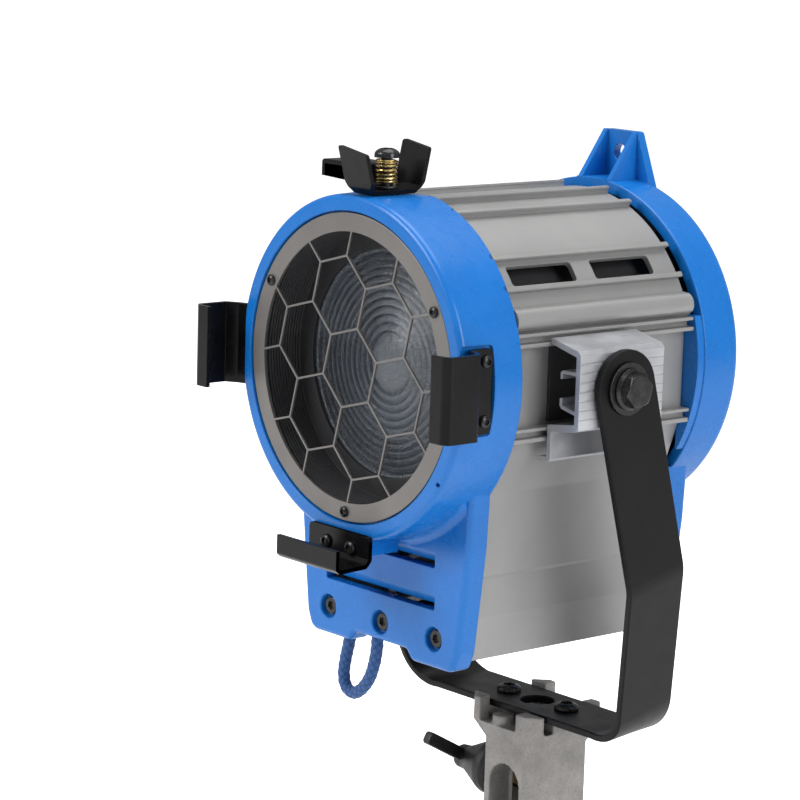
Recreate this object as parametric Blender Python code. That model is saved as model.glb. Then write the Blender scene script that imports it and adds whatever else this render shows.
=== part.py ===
"""Fresnel spotlight in a yoke, on a cast stand socket.

Metres, +Z up. The lens faces -Y and +X is the side of the plain pivot bolt. The origin is the centre of
the stand socket's mouth. Shapes of the lamp head are drawn in head coordinates, whose origin is the
centre of the guard ring's front face: y runs back through the head and z is the height over the lamp axis.
"""

import math

import bmesh
import bpy
from mathutils import Matrix, Vector

# ---------------------------------------------------------------- where things are
LAMP_AXIS_Z = 0.2040  # height of the lamp axis over the socket's mouth
RING_FACE_Y = -0.0944  # the guard ring's front face
HEAD = Vector((0.0, RING_FACE_Y, LAMP_AXIS_Z))
WORLD = Vector((0.0, 0.0, 0.0))
PIVOT_Y = 0.0592  # tilt axis, in head coordinates
PIVOT_Z = -0.0010
GAP = 0.0003  # between pieces that touch

# ---------------------------------------------------------------- housing
BODY_START_Y = 0.0253  # the extruded shells lie between the two castings
BODY_END_Y = 0.1079
SHELL_INNER_R = 0.0550
SHELL_R = 0.0570
RIB_TIP_R = 0.0595
SIDE_X = 0.0526  # flat side panel under the ribs
WINDOWS_Y = ((0.0310, 0.0607), (0.0695, 0.0975))
WINDOW_ANGLES = (34.0, 41.5)

DRUM_FRONT_R = 0.0592
DRUM_REAR_R = 0.0602
DRUM_FRONT_Y = -0.0005
DRUM_BACK_Y = 0.0250
DRUM_CAVITY_R = 0.0573
BOX_FACE_Y = 0.0171
BOX_WALL = 0.0025
BOX_OUTLINE = (  # half of the vent box, from the drum's flank down to the foot
    (0.0462, -0.0370),
    (0.0452, -0.0580),
    (0.0424, -0.0820),
    (0.0408, -0.0950),
    (0.0385, -0.1003),
    (0.0358, -0.1016),
    (0.0168, -0.1016),
    (0.0138, -0.0980),
)
FOOT_SCREW_X = 0.0284
FOOT_SCREW_Z = -0.0913
FOOT_BORE_R = 0.0042
FOOT_SEAT_Y = 0.0201

REAR_RIM_Y = 0.1114
REAR_FACE_Y = 0.1304
REAR_BOX_START_Y = 0.1082
REAR_BOX_END_Y = 0.1205
REAR_RIM_INNER_R = 0.0561
TOWER_TOP_Z = 0.0766
REAR_SCREWS = ((-0.0350, -0.0700), (0.0350, -0.0700), (0.0, 0.0440))
GLAND_X = 0.0250
GLAND_Z = -0.0850

# ---------------------------------------------------------------- optics
RING_R = 0.0530
RING_INNER_R = 0.0466
RING_THICK = 0.0015
RING_SCREW_R = 0.04985
RING_SCREW_ANGLES = (30.0, 150.0, 270.0)
MESH_SIDE = 0.0145
MESH_WIRE = 0.0007
MESH_THICK = 0.0007
MESH_ANGLE = 15.35
MESH_CORNER = (-0.0101, 0.0102)
LENS_R = 0.0405
LENS_FRONT_Y = 0.0180
LENS_BACK_Y = 0.0262
LENS_STEP_RADII = (0.0385, 0.0290, 0.0200, 0.0120)

# ---------------------------------------------------------------- accessory holders
EAR_HALF = 0.01435
FOLDED_SHEET = 0.0015
LATCH_Y = 0.0144
LATCH_SEAT_Z = 0.0588
LATCH_SCREW_SEAT_Z = LATCH_SEAT_Z + 0.0125

# ---------------------------------------------------------------- yoke and stand socket
YOKE_WIDTH = 0.0262
YOKE_THICK = 0.0026
YOKE_ARM_X = 0.0736
YOKE_KINK = (0.0779, -0.0696)  # y, z of the bend half way down each arm
YOKE_BASE_Y = 0.0944
YOKE_BASE_Z = -0.1328
YOKE_LEAN_IN = math.radians(17.5)
YOKE_RAKE = math.radians(15.2)
YOKE_SCREW_X = 0.0154
SOCKET_PAD_Z = LAMP_AXIS_Z + YOKE_BASE_Z - YOKE_THICK / 2 - GAP
SOCKET_BORE_R = 0.0081
CLAMP_Z = 0.0415
CROWN_FLOOR_Z = 0.0655

# ---------------------------------------------------------------- lamp carriage
ROD_X = 0.0200
ROD_Z = -0.0740
ROD_R = 0.0030
SPINDLE_Z = -0.0830
LAMP_Y = 0.0800

# ---------------------------------------------------------------- pull loop
ROPE_R = 0.0023
ROPE_Y = 0.0225
ROPE_HOLES_X = (-0.0216, -0.0070)
ROPE_ROUTE = (  # x and z of the loop's middle line, from one hole to the other
    (-0.0214, -0.0935),
    (-0.0216, -0.0990),
    (-0.0225, -0.1040),
    (-0.0242, -0.1104),
    (-0.0250, -0.1160),
    (-0.0236, -0.1204),
    (-0.0196, -0.1220),
    (-0.0152, -0.1198),
    (-0.0110, -0.1150),
    (-0.0085, -0.1091),
    (-0.0073, -0.1035),
    (-0.0070, -0.0985),
    (-0.0070, -0.0935),
)


# ================================================================ materials
def make_material(name, colour, roughness, metallic=0.0, transmission=0.0):
    material = bpy.data.materials.new(name)
    material.use_nodes = True
    shader = material.node_tree.nodes["Principled BSDF"]
    shader.inputs["Base Color"].default_value = (*colour, 1.0)
    shader.inputs["Roughness"].default_value = roughness
    shader.inputs["Metallic"].default_value = metallic
    shader.inputs["Transmission Weight"].default_value = transmission
    material.diffuse_color = (*colour, 1.0)
    return material


# ================================================================ shapes
def to_space(axis, a, b, along):
    """The point at a, b across an axis and at a distance along it."""
    if axis == "X":
        return Vector((along, a, b))
    if axis == "Y":
        return Vector((a, along, b))
    return Vector((a, b, along))


def arc(centre, radius, start, end, steps):
    """Points on a circle, from one angle to another, in degrees."""
    points = []
    for step in range(steps + 1):
        angle = math.radians(start + (end - start) * step / steps)
        points.append((centre[0] + radius * math.cos(angle), centre[1] + radius * math.sin(angle)))
    return points


def prism(outline, axis, low, high):
    """A closed outline extruded along an axis."""
    bm = bmesh.new()
    rings = [[bm.verts.new(to_space(axis, a, b, along)) for a, b in outline] for along in (low, high)]
    bm.faces.new(rings[0])
    bm.faces.new(rings[1])
    for index in range(len(outline)):
        after = (index + 1) % len(outline)
        bm.faces.new((rings[0][index], rings[0][after], rings[1][after], rings[1][index]))
    bmesh.ops.recalc_face_normals(bm, faces=bm.faces)
    return bm


def block(x, y, z):
    """A box from its lowest and highest x, y and z."""
    outline = ((x[0], y[0]), (x[1], y[0]), (x[1], y[1]), (x[0], y[1]))
    return prism(outline, "Z", z[0], z[1])


def rod(axis, centre, radius, low, high, segments=16):
    """A round bar; the centre is given across the axis."""
    return prism(arc(centre, radius, 0.0, 360.0 * (1 - 1 / segments), segments - 1), axis, low, high)


def turned(profile, axis, centre=(0.0, 0.0), segments=48):
    """A closed profile of (radius, height) points turned about an axis."""
    bm = bmesh.new()
    rings = []
    for radius, height in profile:
        if radius < 1e-7:
            rings.append([bm.verts.new(to_space(axis, centre[0], centre[1], height))])
            continue
        circle = arc(centre, radius, 0.0, 360.0 * (1 - 1 / segments), segments - 1)
        rings.append([bm.verts.new(to_space(axis, a, b, height)) for a, b in circle])
    for index, ring in enumerate(rings):
        other = rings[(index + 1) % len(rings)]
        if len(ring) == 1 and len(other) == 1:
            continue
        for step in range(segments):
            after = (step + 1) % segments
            if len(ring) == 1:
                bm.faces.new((ring[0], other[after], other[step]))
            elif len(other) == 1:
                bm.faces.new((ring[step], ring[after], other[0]))
            else:
                bm.faces.new((ring[step], ring[after], other[after], other[step]))
    bmesh.ops.recalc_face_normals(bm, faces=bm.faces)
    return bm


def folded(path, thickness):
    """Outline of a folded strip: the path is one face, and the other lies to its left."""
    points = [Vector(point) for point in path]
    left = []
    for index, point in enumerate(points):
        normals = []
        if index > 0:
            run = (point - points[index - 1]).normalized()
            normals.append(Vector((-run.y, run.x)))
        if index < len(points) - 1:
            run = (points[index + 1] - point).normalized()
            normals.append(Vector((-run.y, run.x)))
        mitre = sum(normals, Vector((0.0, 0.0))).normalized()
        left.append(point + mitre * thickness / mitre.dot(normals[0]))
    return [tuple(point) for point in points] + [tuple(point) for point in reversed(left)]


def swept(path, radius, sides):
    """A round tube with capped ends along a path."""
    bm = bmesh.new()
    rings = []
    across = None
    for index, point in enumerate(path):
        before = path[max(index - 1, 0)]
        after = path[min(index + 1, len(path) - 1)]
        along = (after - before).normalized()
        if across is None:
            across = along.orthogonal().normalized()
        across = (across - along * across.dot(along)).normalized()
        over = along.cross(across)
        ring = []
        for side in range(sides):
            angle = 2 * math.pi * side / sides
            ring.append(bm.verts.new(point + radius * (math.cos(angle) * across + math.sin(angle) * over)))
        rings.append(ring)
    for ring, other in zip(rings, rings[1:]):
        for side in range(sides):
            after = (side + 1) % sides
            bm.faces.new((ring[side], ring[after], other[after], other[side]))
    bm.faces.new(rings[0])
    bm.faces.new(rings[-1])
    bmesh.ops.recalc_face_normals(bm, faces=bm.faces)
    return bm


def mirrored(bm):
    """The same body on the other side of the head."""
    bmesh.ops.scale(bm, verts=bm.verts, vec=(-1.0, 1.0, 1.0))
    bmesh.ops.reverse_faces(bm, faces=bm.faces)
    return bm


def as_helper(name, bm):
    mesh = bpy.data.meshes.new(name)
    bmesh.ops.triangulate(bm, faces=bm.faces)
    bm.to_mesh(mesh)
    bm.free()
    helper = bpy.data.objects.new(name, mesh)
    bpy.context.scene.collection.objects.link(helper)
    return helper


def combined(base, tools, operation="DIFFERENCE"):
    """A body after a Boolean with each tool in turn."""
    result = base
    for tool in tools:
        body = as_helper("body", result)
        other = as_helper("tool", tool)
        modifier = body.modifiers.new("combine", "BOOLEAN")
        modifier.operation = operation
        modifier.solver = "EXACT"
        modifier.object = other
        evaluated = body.evaluated_get(bpy.context.evaluated_depsgraph_get())
        result = bmesh.new()
        result.from_mesh(evaluated.to_mesh())
        bpy.data.objects.remove(body)
        bpy.data.objects.remove(other)
        bmesh.ops.remove_doubles(result, verts=result.verts, dist=1e-7)
        flat = math.radians(0.1)
        bmesh.ops.dissolve_limit(result, angle_limit=flat, verts=result.verts, edges=result.edges)
    return result


def cut(base, *tools):
    return combined(base, tools, "DIFFERENCE")


def joined(base, *tools):
    return combined(base, tools, "UNION")


# ================================================================ placing
def add_pivot(name, location, parent=None):
    """An empty on a joint's axis, which carries what moves with the joint."""
    pivot = bpy.data.objects.new(name, None)
    pivot.empty_display_size = 0.01
    bpy.context.scene.collection.objects.link(pivot)
    pivot["place"] = tuple(location)
    pivot.location = location
    if parent is not None:
        pivot.parent = parent
        pivot.location = Vector(location) - Vector(parent["place"])
    return pivot


def add_part(name, bm, material, parent, frame=HEAD):
    """A named part; its shape was drawn in the frame given, and its origin lies on its parent's axis."""
    place = Vector(parent["place"])
    bmesh.ops.translate(bm, verts=bm.verts, vec=frame - place)
    bmesh.ops.remove_doubles(bm, verts=bm.verts, dist=1e-6)
    mesh = bpy.data.meshes.new(name)
    bm.to_mesh(mesh)
    bm.free()
    mesh.shade_smooth()
    mesh.set_sharp_from_angle(angle=math.radians(35.0))
    mesh.materials.append(material)
    part = bpy.data.objects.new(name, mesh)
    bpy.context.scene.collection.objects.link(part)
    part.parent = parent
    return part


# ================================================================ fasteners
def button_screw(axis, centre, seat, head_r, head_h, shank_r, shank_end, segments=12):
    """A domed screw; the head stands on its seat, away from the shank's end."""
    out = 1.0 if seat > shank_end else -1.0
    profile = [
        (0.0, shank_end),
        (shank_r, shank_end),
        (shank_r, seat),
        (head_r, seat),
        (head_r * 0.90, seat + out * head_h * 0.6),
        (head_r * 0.50, seat + out * head_h),
        (0.0, seat + out * head_h),
    ]
    return turned(profile, axis, centre, segments)


def cap_screw(axis, centre, seat, head_r, head_h, shank_r, shank_end, segments=12):
    """A socket head cap screw."""
    out = 1.0 if seat > shank_end else -1.0
    profile = [
        (0.0, shank_end),
        (shank_r, shank_end),
        (shank_r, seat),
        (head_r, seat),
        (head_r, seat + out * head_h),
        (head_r * 0.55, seat + out * head_h),
        (head_r * 0.55, seat + out * head_h * 0.4),
        (0.0, seat + out * head_h * 0.4),
    ]
    return turned(profile, axis, centre, segments)


# ================================================================ castings
def box_outline(inset):
    """The vent box's outline, symmetric, drawn in by a wall where inset isn't zero."""
    half = []
    for index, (x, z) in enumerate(BOX_OUTLINE):
        lift = inset if z < -0.096 else 0.0
        half.append((x - (inset if index < 6 else 0.0), z + lift))
    return half + [(-x, z) for x, z in reversed(half)]


def rounded_box(start, end, round_at):
    """The vent box's solid, with its outer edges rounded at the face given."""
    bm = prism(box_outline(0.0), "Y", start, end)
    rim = [
        edge
        for edge in bm.edges
        if all(abs(vert.co.y - round_at) < 1e-6 for vert in edge.verts)
        and min(vert.co.z for vert in edge.verts) < -0.0371
    ]
    bmesh.ops.bevel(bm, geom=rim, offset=0.0022, segments=3, profile=0.5, affect="EDGES", clamp_overlap=True)
    return bm


def front_casting():
    drum = turned(
        [
            (0.0, DRUM_FRONT_Y),
            (0.0568, DRUM_FRONT_Y),
            (0.0583, DRUM_FRONT_Y + 0.0007),
            (DRUM_FRONT_R, DRUM_FRONT_Y + 0.0022),
            (DRUM_REAR_R, DRUM_BACK_Y),
            (0.0, DRUM_BACK_Y),
        ],
        "Y",
        segments=48,
    )
    lug = block((-0.0100, 0.0100), (0.0, BOX_FACE_Y + 0.001), (-0.0640, -0.0560))
    body = joined(drum, rounded_box(BOX_FACE_Y, DRUM_BACK_Y, BOX_FACE_Y), lug)

    cavity = rod("Y", (0.0, 0.0), DRUM_CAVITY_R, 0.0042, 0.026, 40)
    ear_pad_left = block((-0.0610, -0.0540), (0.004, 0.0150), (-0.017, 0.017))
    ear_pad_right = block((0.0540, 0.0610), (0.004, 0.0150), (-0.017, 0.017))
    latch_boss = block((-0.0125, 0.0125), (0.004, 0.0270), (0.0540, 0.0600))
    cavity = cut(cavity, ear_pad_left, ear_pad_right, latch_boss)
    box_inside = prism(box_outline(BOX_WALL), "Y", BOX_FACE_Y + 0.0040, 0.026)
    body = cut(body, cavity, box_inside)

    tools = [
        block((-0.0200, 0.0200), (-0.002, 0.0270), (LATCH_SEAT_Z, 0.070)),
        rod("Y", (0.0, 0.0), 0.0484, -0.002, 0.005, 40),
        rod("Y", (0.0, 0.0), RING_R + 0.0006, -0.002, RING_THICK + GAP, 40),
    ]
    for side in (-1, 1):
        near, far = sorted((side * 0.0568, side * 0.0650))
        tools.append(block((near, far), (-0.0015, 0.0130), (-0.0152, 0.0152)))
        for z in (-0.0100, 0.0100):
            low, high = sorted((side * 0.0500, side * 0.0580))
            tools.append(rod("X", (0.0095, z), 0.0012, low, high, 8))
    for angle in RING_SCREW_ANGLES:
        place = arc((0.0, 0.0), RING_SCREW_R, angle, angle, 1)[0]
        tools.append(rod("Y", place, 0.0012, 0.0, 0.006, 8))
    for x in (-FOOT_SCREW_X, 0.0, FOOT_SCREW_X):
        tools.append(rod("Y", (x, FOOT_SCREW_Z), FOOT_BORE_R, 0.016, FOOT_SEAT_Y, 16))
        tools.append(rod("Y", (x, FOOT_SCREW_Z), 0.0017, 0.018, 0.022, 8))
    tools.append(block((-0.0270, 0.0282), (0.016, 0.0216), (-0.0665, -0.0612)))
    tools.append(block((-0.0296, 0.0287), (0.016, 0.0216), (-0.0812, -0.0762)))
    for x in (-0.0065, 0.0065):
        tools.append(rod("Y", (x, -0.0610), 0.0014, -0.001, 0.008, 8))
    tools.append(rod("Z", (0.0, LATCH_Y), 0.0024, 0.0500, 0.0610, 12))
    for x in ROPE_HOLES_X:
        tools.append(rod("Z", (x, ROPE_Y), ROPE_R + 0.0005, -0.1030, -0.0930, 12))
    return cut(body, *tools)


def rear_casting():
    drum = turned(
        [
            (0.0, REAR_RIM_Y),
            (0.0597, REAR_RIM_Y),
            (0.0602, REAR_RIM_Y + 0.0010),
            (0.0602, REAR_FACE_Y - 0.0045),
            (0.0590, REAR_FACE_Y - 0.0015),
            (0.0565, REAR_FACE_Y),
            (0.0, REAR_FACE_Y),
        ],
        "Y",
        segments=48,
    )
    web_face = ((-0.0166, 0.0560), (0.0166, 0.0560), (0.0084, TOWER_TOP_Z), (-0.0084, TOWER_TOP_Z))
    web = prism(web_face, "Y", 0.1248, 0.1282)
    gusset_side = (
        (REAR_RIM_Y, 0.0550),
        (0.1260, 0.0550),
        (0.1260, TOWER_TOP_Z),
        (0.1244, TOWER_TOP_Z),
        (REAR_RIM_Y, 0.0583),
    )
    gussets = [prism(gusset_side, "X", low, low + 0.0020) for low in (-0.0084, 0.0064)]
    apron = block((-0.0080, 0.0080), (REAR_RIM_Y, 0.1260), (0.0560, 0.0600))
    body = joined(drum, rounded_box(REAR_BOX_START_Y, REAR_BOX_END_Y, REAR_BOX_END_Y), web, *gussets, apron)

    cavity = rod("Y", (0.0, 0.0), REAR_RIM_INNER_R, REAR_RIM_Y - 0.001, REAR_FACE_Y - BOX_WALL, 40)
    box_inside = prism(box_outline(BOX_WALL), "Y", REAR_BOX_START_Y - 0.001, REAR_BOX_END_Y - BOX_WALL)
    drum_clearance = rod("Y", (0.0, 0.0), RIB_TIP_R + GAP, REAR_BOX_START_Y - 0.001, REAR_RIM_Y - 0.0001, 40)
    tools = [cavity, box_inside, drum_clearance, rod("Y", (0.0, 0.0688), 0.0030, 0.120, 0.132, 16)]
    for row in range(5):
        z = 0.0300 - 0.0130 * row
        half = math.sqrt(0.0480**2 - z * z) - 0.004
        tools.append(block((-half, half), (0.126, 0.132), (z - 0.0022, z + 0.0022)))
    tools.append(rod("Y", (0.0, SPINDLE_Z), ROD_R + GAP, 0.115, 0.122, 12))
    tools.append(rod("Y", (GLAND_X, GLAND_Z), 0.0040 + GAP, 0.115, 0.122, 12))
    for x, z in REAR_SCREWS:
        end = REAR_FACE_Y if z > 0.0 else REAR_BOX_END_Y
        tools.append(rod("Y", (x, z), 0.0017, end - 0.004, end + 0.001, 8))
    body = cut(body, *tools)
    cheek = arc((0.0, 0.0), 0.0597, -31.0, 17.0, 8) + [(0.0505, 0.0170), (0.0505, -0.0300)]
    right_cheek = prism(cheek, "Y", REAR_BOX_START_Y, REAR_RIM_Y + 0.0010)
    left_cheek = mirrored(prism(cheek, "Y", REAR_BOX_START_Y, REAR_RIM_Y + 0.0010))
    return joined(body, right_cheek, left_cheek)


# ================================================================ extruded shells
def ribbed_arc(start, end, ribs):
    """Outer outline of a shell from one angle to another, with a rib at each angle given."""
    stops = sorted([*ribs, start, end], reverse=start > end)
    outline = []
    for here, there in zip(stops, stops[1:]):
        steps = max(1, round(abs(there - here) / 6.0))
        edge = 0.8 if there > here else -0.8
        first = here + (edge if here in ribs else 0.0)
        last = there - (edge if there in ribs else 0.0)
        if here in ribs:
            outline += arc((0.0, 0.0), RIB_TIP_R, here - edge, here + edge, 1)
        outline += arc((0.0, 0.0), SHELL_R, first, last, steps)
    return outline


def top_shell():
    outline = ribbed_arc(46.0, 134.0, (66.8, 78.6, 101.4, 113.2))
    outline += arc((0.0, 0.0), SHELL_INNER_R, 134.0, 46.0, 14)
    return prism(outline, "Y", BODY_START_Y, BODY_END_Y)


def right_shell():
    outer = ribbed_arc(45.6, 26.5, (44.0, 32.1))
    outer += arc((0.0527, 0.0213), 0.0042, 68.0, -30.0, 6)  # rolled edge over the screw channel
    outer += [
        (0.0540, 0.0172),
        (0.0569, 0.0172),
        (0.0569, 0.0160),
        (0.0540, 0.0160),
        (0.0540, 0.0138),
        (0.0573, 0.0138),
        (0.0573, 0.0124),
        (SIDE_X, 0.0124),
        (SIDE_X, -0.0150),
        (0.0568, -0.0150),
        (0.0568, -0.0162),
        (0.0540, -0.0162),
        (0.0540, -0.0184),
        (0.0564, -0.0184),
        (0.0564, -0.0200),
        (0.0520, -0.0200),
        (0.0452, -0.0390),
        (0.0418, -0.0680),
        (0.0412, -0.0736),
        (0.0404, -0.0832),
        (0.0388, -0.0980),
        (0.0368, -0.0980),
        (0.0384, -0.0832),
        (0.0396, -0.0680),
        (0.0430, -0.0390),
        (0.0500, -0.0190),
        (0.0505, 0.0),
        (0.0505, 0.0170),
    ]
    outer += arc((0.0, 0.0), SHELL_INNER_R, 24.0, 45.6, 4)
    body = prism(outer, "Y", BODY_START_Y, BODY_END_Y)
    windows = []
    for low, high in WINDOWS_Y:
        pane = arc((0.0, 0.0), 0.0620, WINDOW_ANGLES[0], WINDOW_ANGLES[1], 1)
        pane += arc((0.0, 0.0), 0.0500, WINDOW_ANGLES[1], WINDOW_ANGLES[0], 1)
        windows.append(prism(pane, "Y", low, high))
    return cut(body, *windows)


def bottom_pan():
    outline = (
        (-0.0364, -0.0980),
        (0.0364, -0.0980),
        (0.0367, -0.0950),
        (0.0347, -0.0950),
        (0.0345, -0.0962),
        (-0.0345, -0.0962),
        (-0.0347, -0.0950),
        (-0.0367, -0.0950),
    )
    slots = []
    for row in range(4):
        y = 0.0400 + 0.0180 * row
        slots.append(block((-0.0220, 0.0220), (y, y + 0.0040), (-0.100, -0.094)))
    return cut(prism(outline, "Y", BODY_START_Y, BODY_END_Y), *slots)


# ================================================================ guard ring, lens, baffle
def mesh_cells():
    """Hexagons whose shared walls are the mesh's wires."""
    spacing = MESH_SIDE * math.sqrt(3.0)
    first = arc(MESH_CORNER, MESH_SIDE, MESH_ANGLE + 60.0, MESH_ANGLE + 60.0, 1)[0]
    cells = []
    inset = MESH_SIDE - MESH_WIRE / math.sqrt(3.0)
    for column in range(-5, 6):
        for row in range(-5, 6):
            shift = arc((0.0, 0.0), spacing * column, MESH_ANGLE + 30.0, MESH_ANGLE + 30.0, 1)[0]
            rise = arc((0.0, 0.0), spacing * row, MESH_ANGLE + 90.0, MESH_ANGLE + 90.0, 1)[0]
            centre = (first[0] + shift[0] + rise[0], first[1] + shift[1] + rise[1])
            if math.hypot(*centre) < RING_INNER_R + MESH_SIDE:
                corners = arc(centre, inset, MESH_ANGLE, MESH_ANGLE + 300.0, 5)
                cells.append(prism(corners, "Y", -0.001, 0.003))
    return cells


def guard_ring():
    """A punched plate: a rim and a hexagonal mesh in one piece."""
    cells = bmesh.new()
    for cell in mesh_cells():
        piece = bpy.data.meshes.new("cell")
        cell.to_mesh(piece)
        cell.free()
        cells.from_mesh(piece)
        bpy.data.meshes.remove(piece)
    opening = rod("Y", (0.0, 0.0), RING_INNER_R, -0.002, 0.004, 40)
    holes = combined(cells, [opening], "INTERSECT")
    plate = rod("Y", (0.0, 0.0), RING_R, 0.0, RING_THICK, 40)
    back = rod("Y", (0.0, 0.0), RING_INNER_R + 0.0003, MESH_THICK, 0.004, 40)
    screws = []
    for angle in RING_SCREW_ANGLES:
        place = arc((0.0, 0.0), RING_SCREW_R, angle, angle, 1)[0]
        screws.append(rod("Y", place, 0.0012, -0.001, 0.003, 8))
    return cut(plate, holes, back, *screws)


def light_baffle():
    """Black tube behind the guard ring, with the lens seat at its back."""
    return turned(
        [
            (0.0470, 0.0020),
            (0.0480, 0.0020),
            (0.0480, 0.0045),
            (0.0530, 0.0045),
            (0.0530, 0.0055),
            (0.0482, 0.0055),
            (0.0482, 0.0176),
            (0.0396, 0.0176),
            (0.0396, 0.0164),
            (0.0470, 0.0164),
        ],
        "Y",
        segments=32,
    )


def fresnel_lens():
    """Stepped face to the front, plain face to the back."""
    profile = [(0.0, LENS_BACK_Y), (LENS_R, LENS_BACK_Y), (LENS_R, LENS_FRONT_Y)]
    profile.append((LENS_STEP_RADII[0], LENS_FRONT_Y))
    for outer, inner in zip(LENS_STEP_RADII, LENS_STEP_RADII[1:]):
        profile.append((outer - 0.0002, LENS_FRONT_Y + 0.0022))
        profile.append((inner, LENS_FRONT_Y + 0.0002))
    profile.append((0.0, LENS_FRONT_Y - 0.0010))
    return turned(profile, "Y", segments=28)


def lens_retainer():
    front = LENS_BACK_Y + GAP
    profile = ((0.0380, front), (0.0470, front), (0.0470, 0.0280), (0.0380, 0.0280))
    return turned(profile, "Y", segments=32)


# ================================================================ accessory holders
def ear():
    """Right-hand ear: front lip, web and a flange screwed into the drum's flank."""
    path = (
        (0.0597, -0.0152),
        (0.0652, -0.0152),
        (0.0679, -0.0135),
        (0.0679, -0.0012),
        (0.0630, 0.0020),
        (0.0588, 0.0035),
        (0.0588, 0.0125),
    )
    body = prism(folded(path, FOLDED_SHEET), "Z", -EAR_HALF, EAR_HALF)
    holes = [rod("X", (0.0095, z), 0.0012, 0.055, 0.062, 12) for z in (-0.0100, 0.0100)]
    return cut(body, *holes)


def bottom_bracket():
    path = (
        (-0.0008, -0.0557),
        (-0.0008, -0.0640),
        (-0.0030, -0.0665),
        (-0.0148, -0.0670),
        (-0.0166, -0.0655),
        (-0.0166, -0.0588),
    )
    body = prism([(y, z) for y, z in folded(path, -FOLDED_SHEET)], "X", -0.0161, 0.0161)
    holes = [rod("Y", (x, -0.0610), 0.0014, -0.005, 0.002, 12) for x in (-0.0065, 0.0065)]
    return cut(body, *holes)


def top_latch():
    """Folded plate with two wings and a hook, drawn open with its hook to -X."""
    low = LATCH_SEAT_Z + GAP
    top = low + FOLDED_SHEET
    wing_path = (
        (LATCH_Y - 0.0160, 0.0755),
        (LATCH_Y - 0.0120, low + 0.0022),
        (LATCH_Y - 0.0100, low),
        (LATCH_Y + 0.0092, low),
        (LATCH_Y + 0.0110, low + 0.0022),
        (LATCH_Y + 0.0143, 0.0766),
    )
    wings = prism(folded(wing_path, FOLDED_SHEET), "X", -0.0070, 0.0070)
    flank = [(0.0048, 0.050), (0.0048, low + 0.0004), (0.0070, low + 0.0038)]
    mirror = [(-x, z) for x, z in reversed(flank)]
    front_face = [*flank, (0.0070, 0.0731), (-0.0070, 0.0756), *mirror]
    rear_face = [*flank, (0.0070, 0.0747), (-0.0070, 0.0767), *mirror]
    trim = joined(prism(front_face, "Y", -0.010, LATCH_Y), prism(rear_face, "Y", LATCH_Y, 0.040))
    wings = combined(wings, [trim], "INTERSECT")
    hook_path = (
        (-0.0030, top),
        (-0.0062, top),
        (-0.0076, top + 0.0014),
        (-0.0076, 0.0680),
        (-0.0084, 0.0688),
        (-0.0254, 0.0688),
        (-0.0262, 0.0680),
        (-0.0262, 0.0630),
    )
    hook = prism(folded(hook_path, FOLDED_SHEET), "Y", LATCH_Y - 0.0070, LATCH_Y + 0.0070)
    body = joined(wings, hook)
    return cut(body, rod("Z", (0.0, LATCH_Y), 0.0024, 0.050, 0.070, 12))


def latch_screw():
    return button_screw("Z", (0.0, LATCH_Y), LATCH_SCREW_SEAT_Z, 0.0044, 0.0034, 0.0019, 0.0555, 16)


def latch_washer():
    low = LATCH_SEAT_Z + FOLDED_SHEET + 2 * GAP
    high = low + 0.0008
    return turned([(0.0024, low), (0.0042, low), (0.0042, high), (0.0024, high)], "Z", (0.0, LATCH_Y), 12)


def latch_spring():
    """Compression spring from the washer up to the screw's head."""
    wire = 0.0005
    low = LATCH_SEAT_Z + FOLDED_SHEET + 0.0008 + 3 * GAP + wire
    high = LATCH_SCREW_SEAT_Z - GAP - wire
    steps = 55
    turns = 5.5
    path = []
    for step in range(steps + 1):
        angle = 2 * math.pi * turns * step / steps
        height = low + (high - low) * step / steps
        path.append(Vector((0.0035 * math.cos(angle), LATCH_Y + 0.0035 * math.sin(angle), height)))
    return swept(path, wire, 5)


# ================================================================ tilt pivot
def side_bracket():
    """Right-hand extruded channel with hooked lips over the side panel, which takes the pivot bolt."""
    outline = (
        (0.0576, 0.0154),
        (0.0576, 0.0134),
        (0.0700, 0.0104),
        (0.0700, 0.0052),
        (0.0636, 0.0052),
        (0.0626, 0.0044),
        (0.0626, 0.0022),
        (0.0636, 0.0022),
        (0.0636, 0.0041),
        (0.0700, 0.0041),
        (0.0700, -0.0080),
        (0.0642, -0.0068),
        (0.0636, -0.0064),
        (0.0636, -0.0042),
        (0.0626, -0.0042),
        (0.0626, -0.0068),
        (0.0636, -0.0078),
        (0.0700, -0.0092),
        (0.0700, -0.0124),
        (0.0572, -0.0142),
        (0.0572, -0.0250),
        (0.0530, -0.0254),
        (0.0530, -0.0268),
        (0.0580, -0.0268),
        (0.0590, -0.0258),
        (0.0590, -0.0164),
        (0.0706, -0.0148),
        (0.0720, -0.0140),
        (0.0720, 0.0112),
        (0.0706, 0.0126),
    )
    body = prism(outline, "Y", 0.0397, 0.0787)
    return cut(body, rod("X", (PIVOT_Y, PIVOT_Z), 0.0043, 0.060, 0.075, 16))


def bracket_liner():
    """Black plate on the right-hand side panel, inside the channel."""
    return block((SIDE_X + GAP, SIDE_X + GAP + 0.0012), (0.0430, 0.0780), (-0.0138, 0.0116))


def pivot_bolt():
    """Hexagon flange bolt through washer, yoke arm and bracket."""
    hexagon = prism(arc((PIVOT_Y, PIVOT_Z), 0.0062, 12.0, 312.0, 5), "X", 0.0772, 0.0812)
    flange = rod("X", (PIVOT_Y, PIVOT_Z), 0.0072, 0.0764, 0.0774, 20)
    shank = rod("X", (PIVOT_Y, PIVOT_Z), 0.0040, 0.0640, 0.0768, 16)
    return joined(shank, flange, hexagon)


def pivot_washer():
    profile = ((0.0043, 0.0752), (0.0090, 0.0752), (0.0090, 0.0761), (0.0043, 0.0761))
    return turned(profile, "X", (PIVOT_Y, PIVOT_Z), 20)


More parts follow.
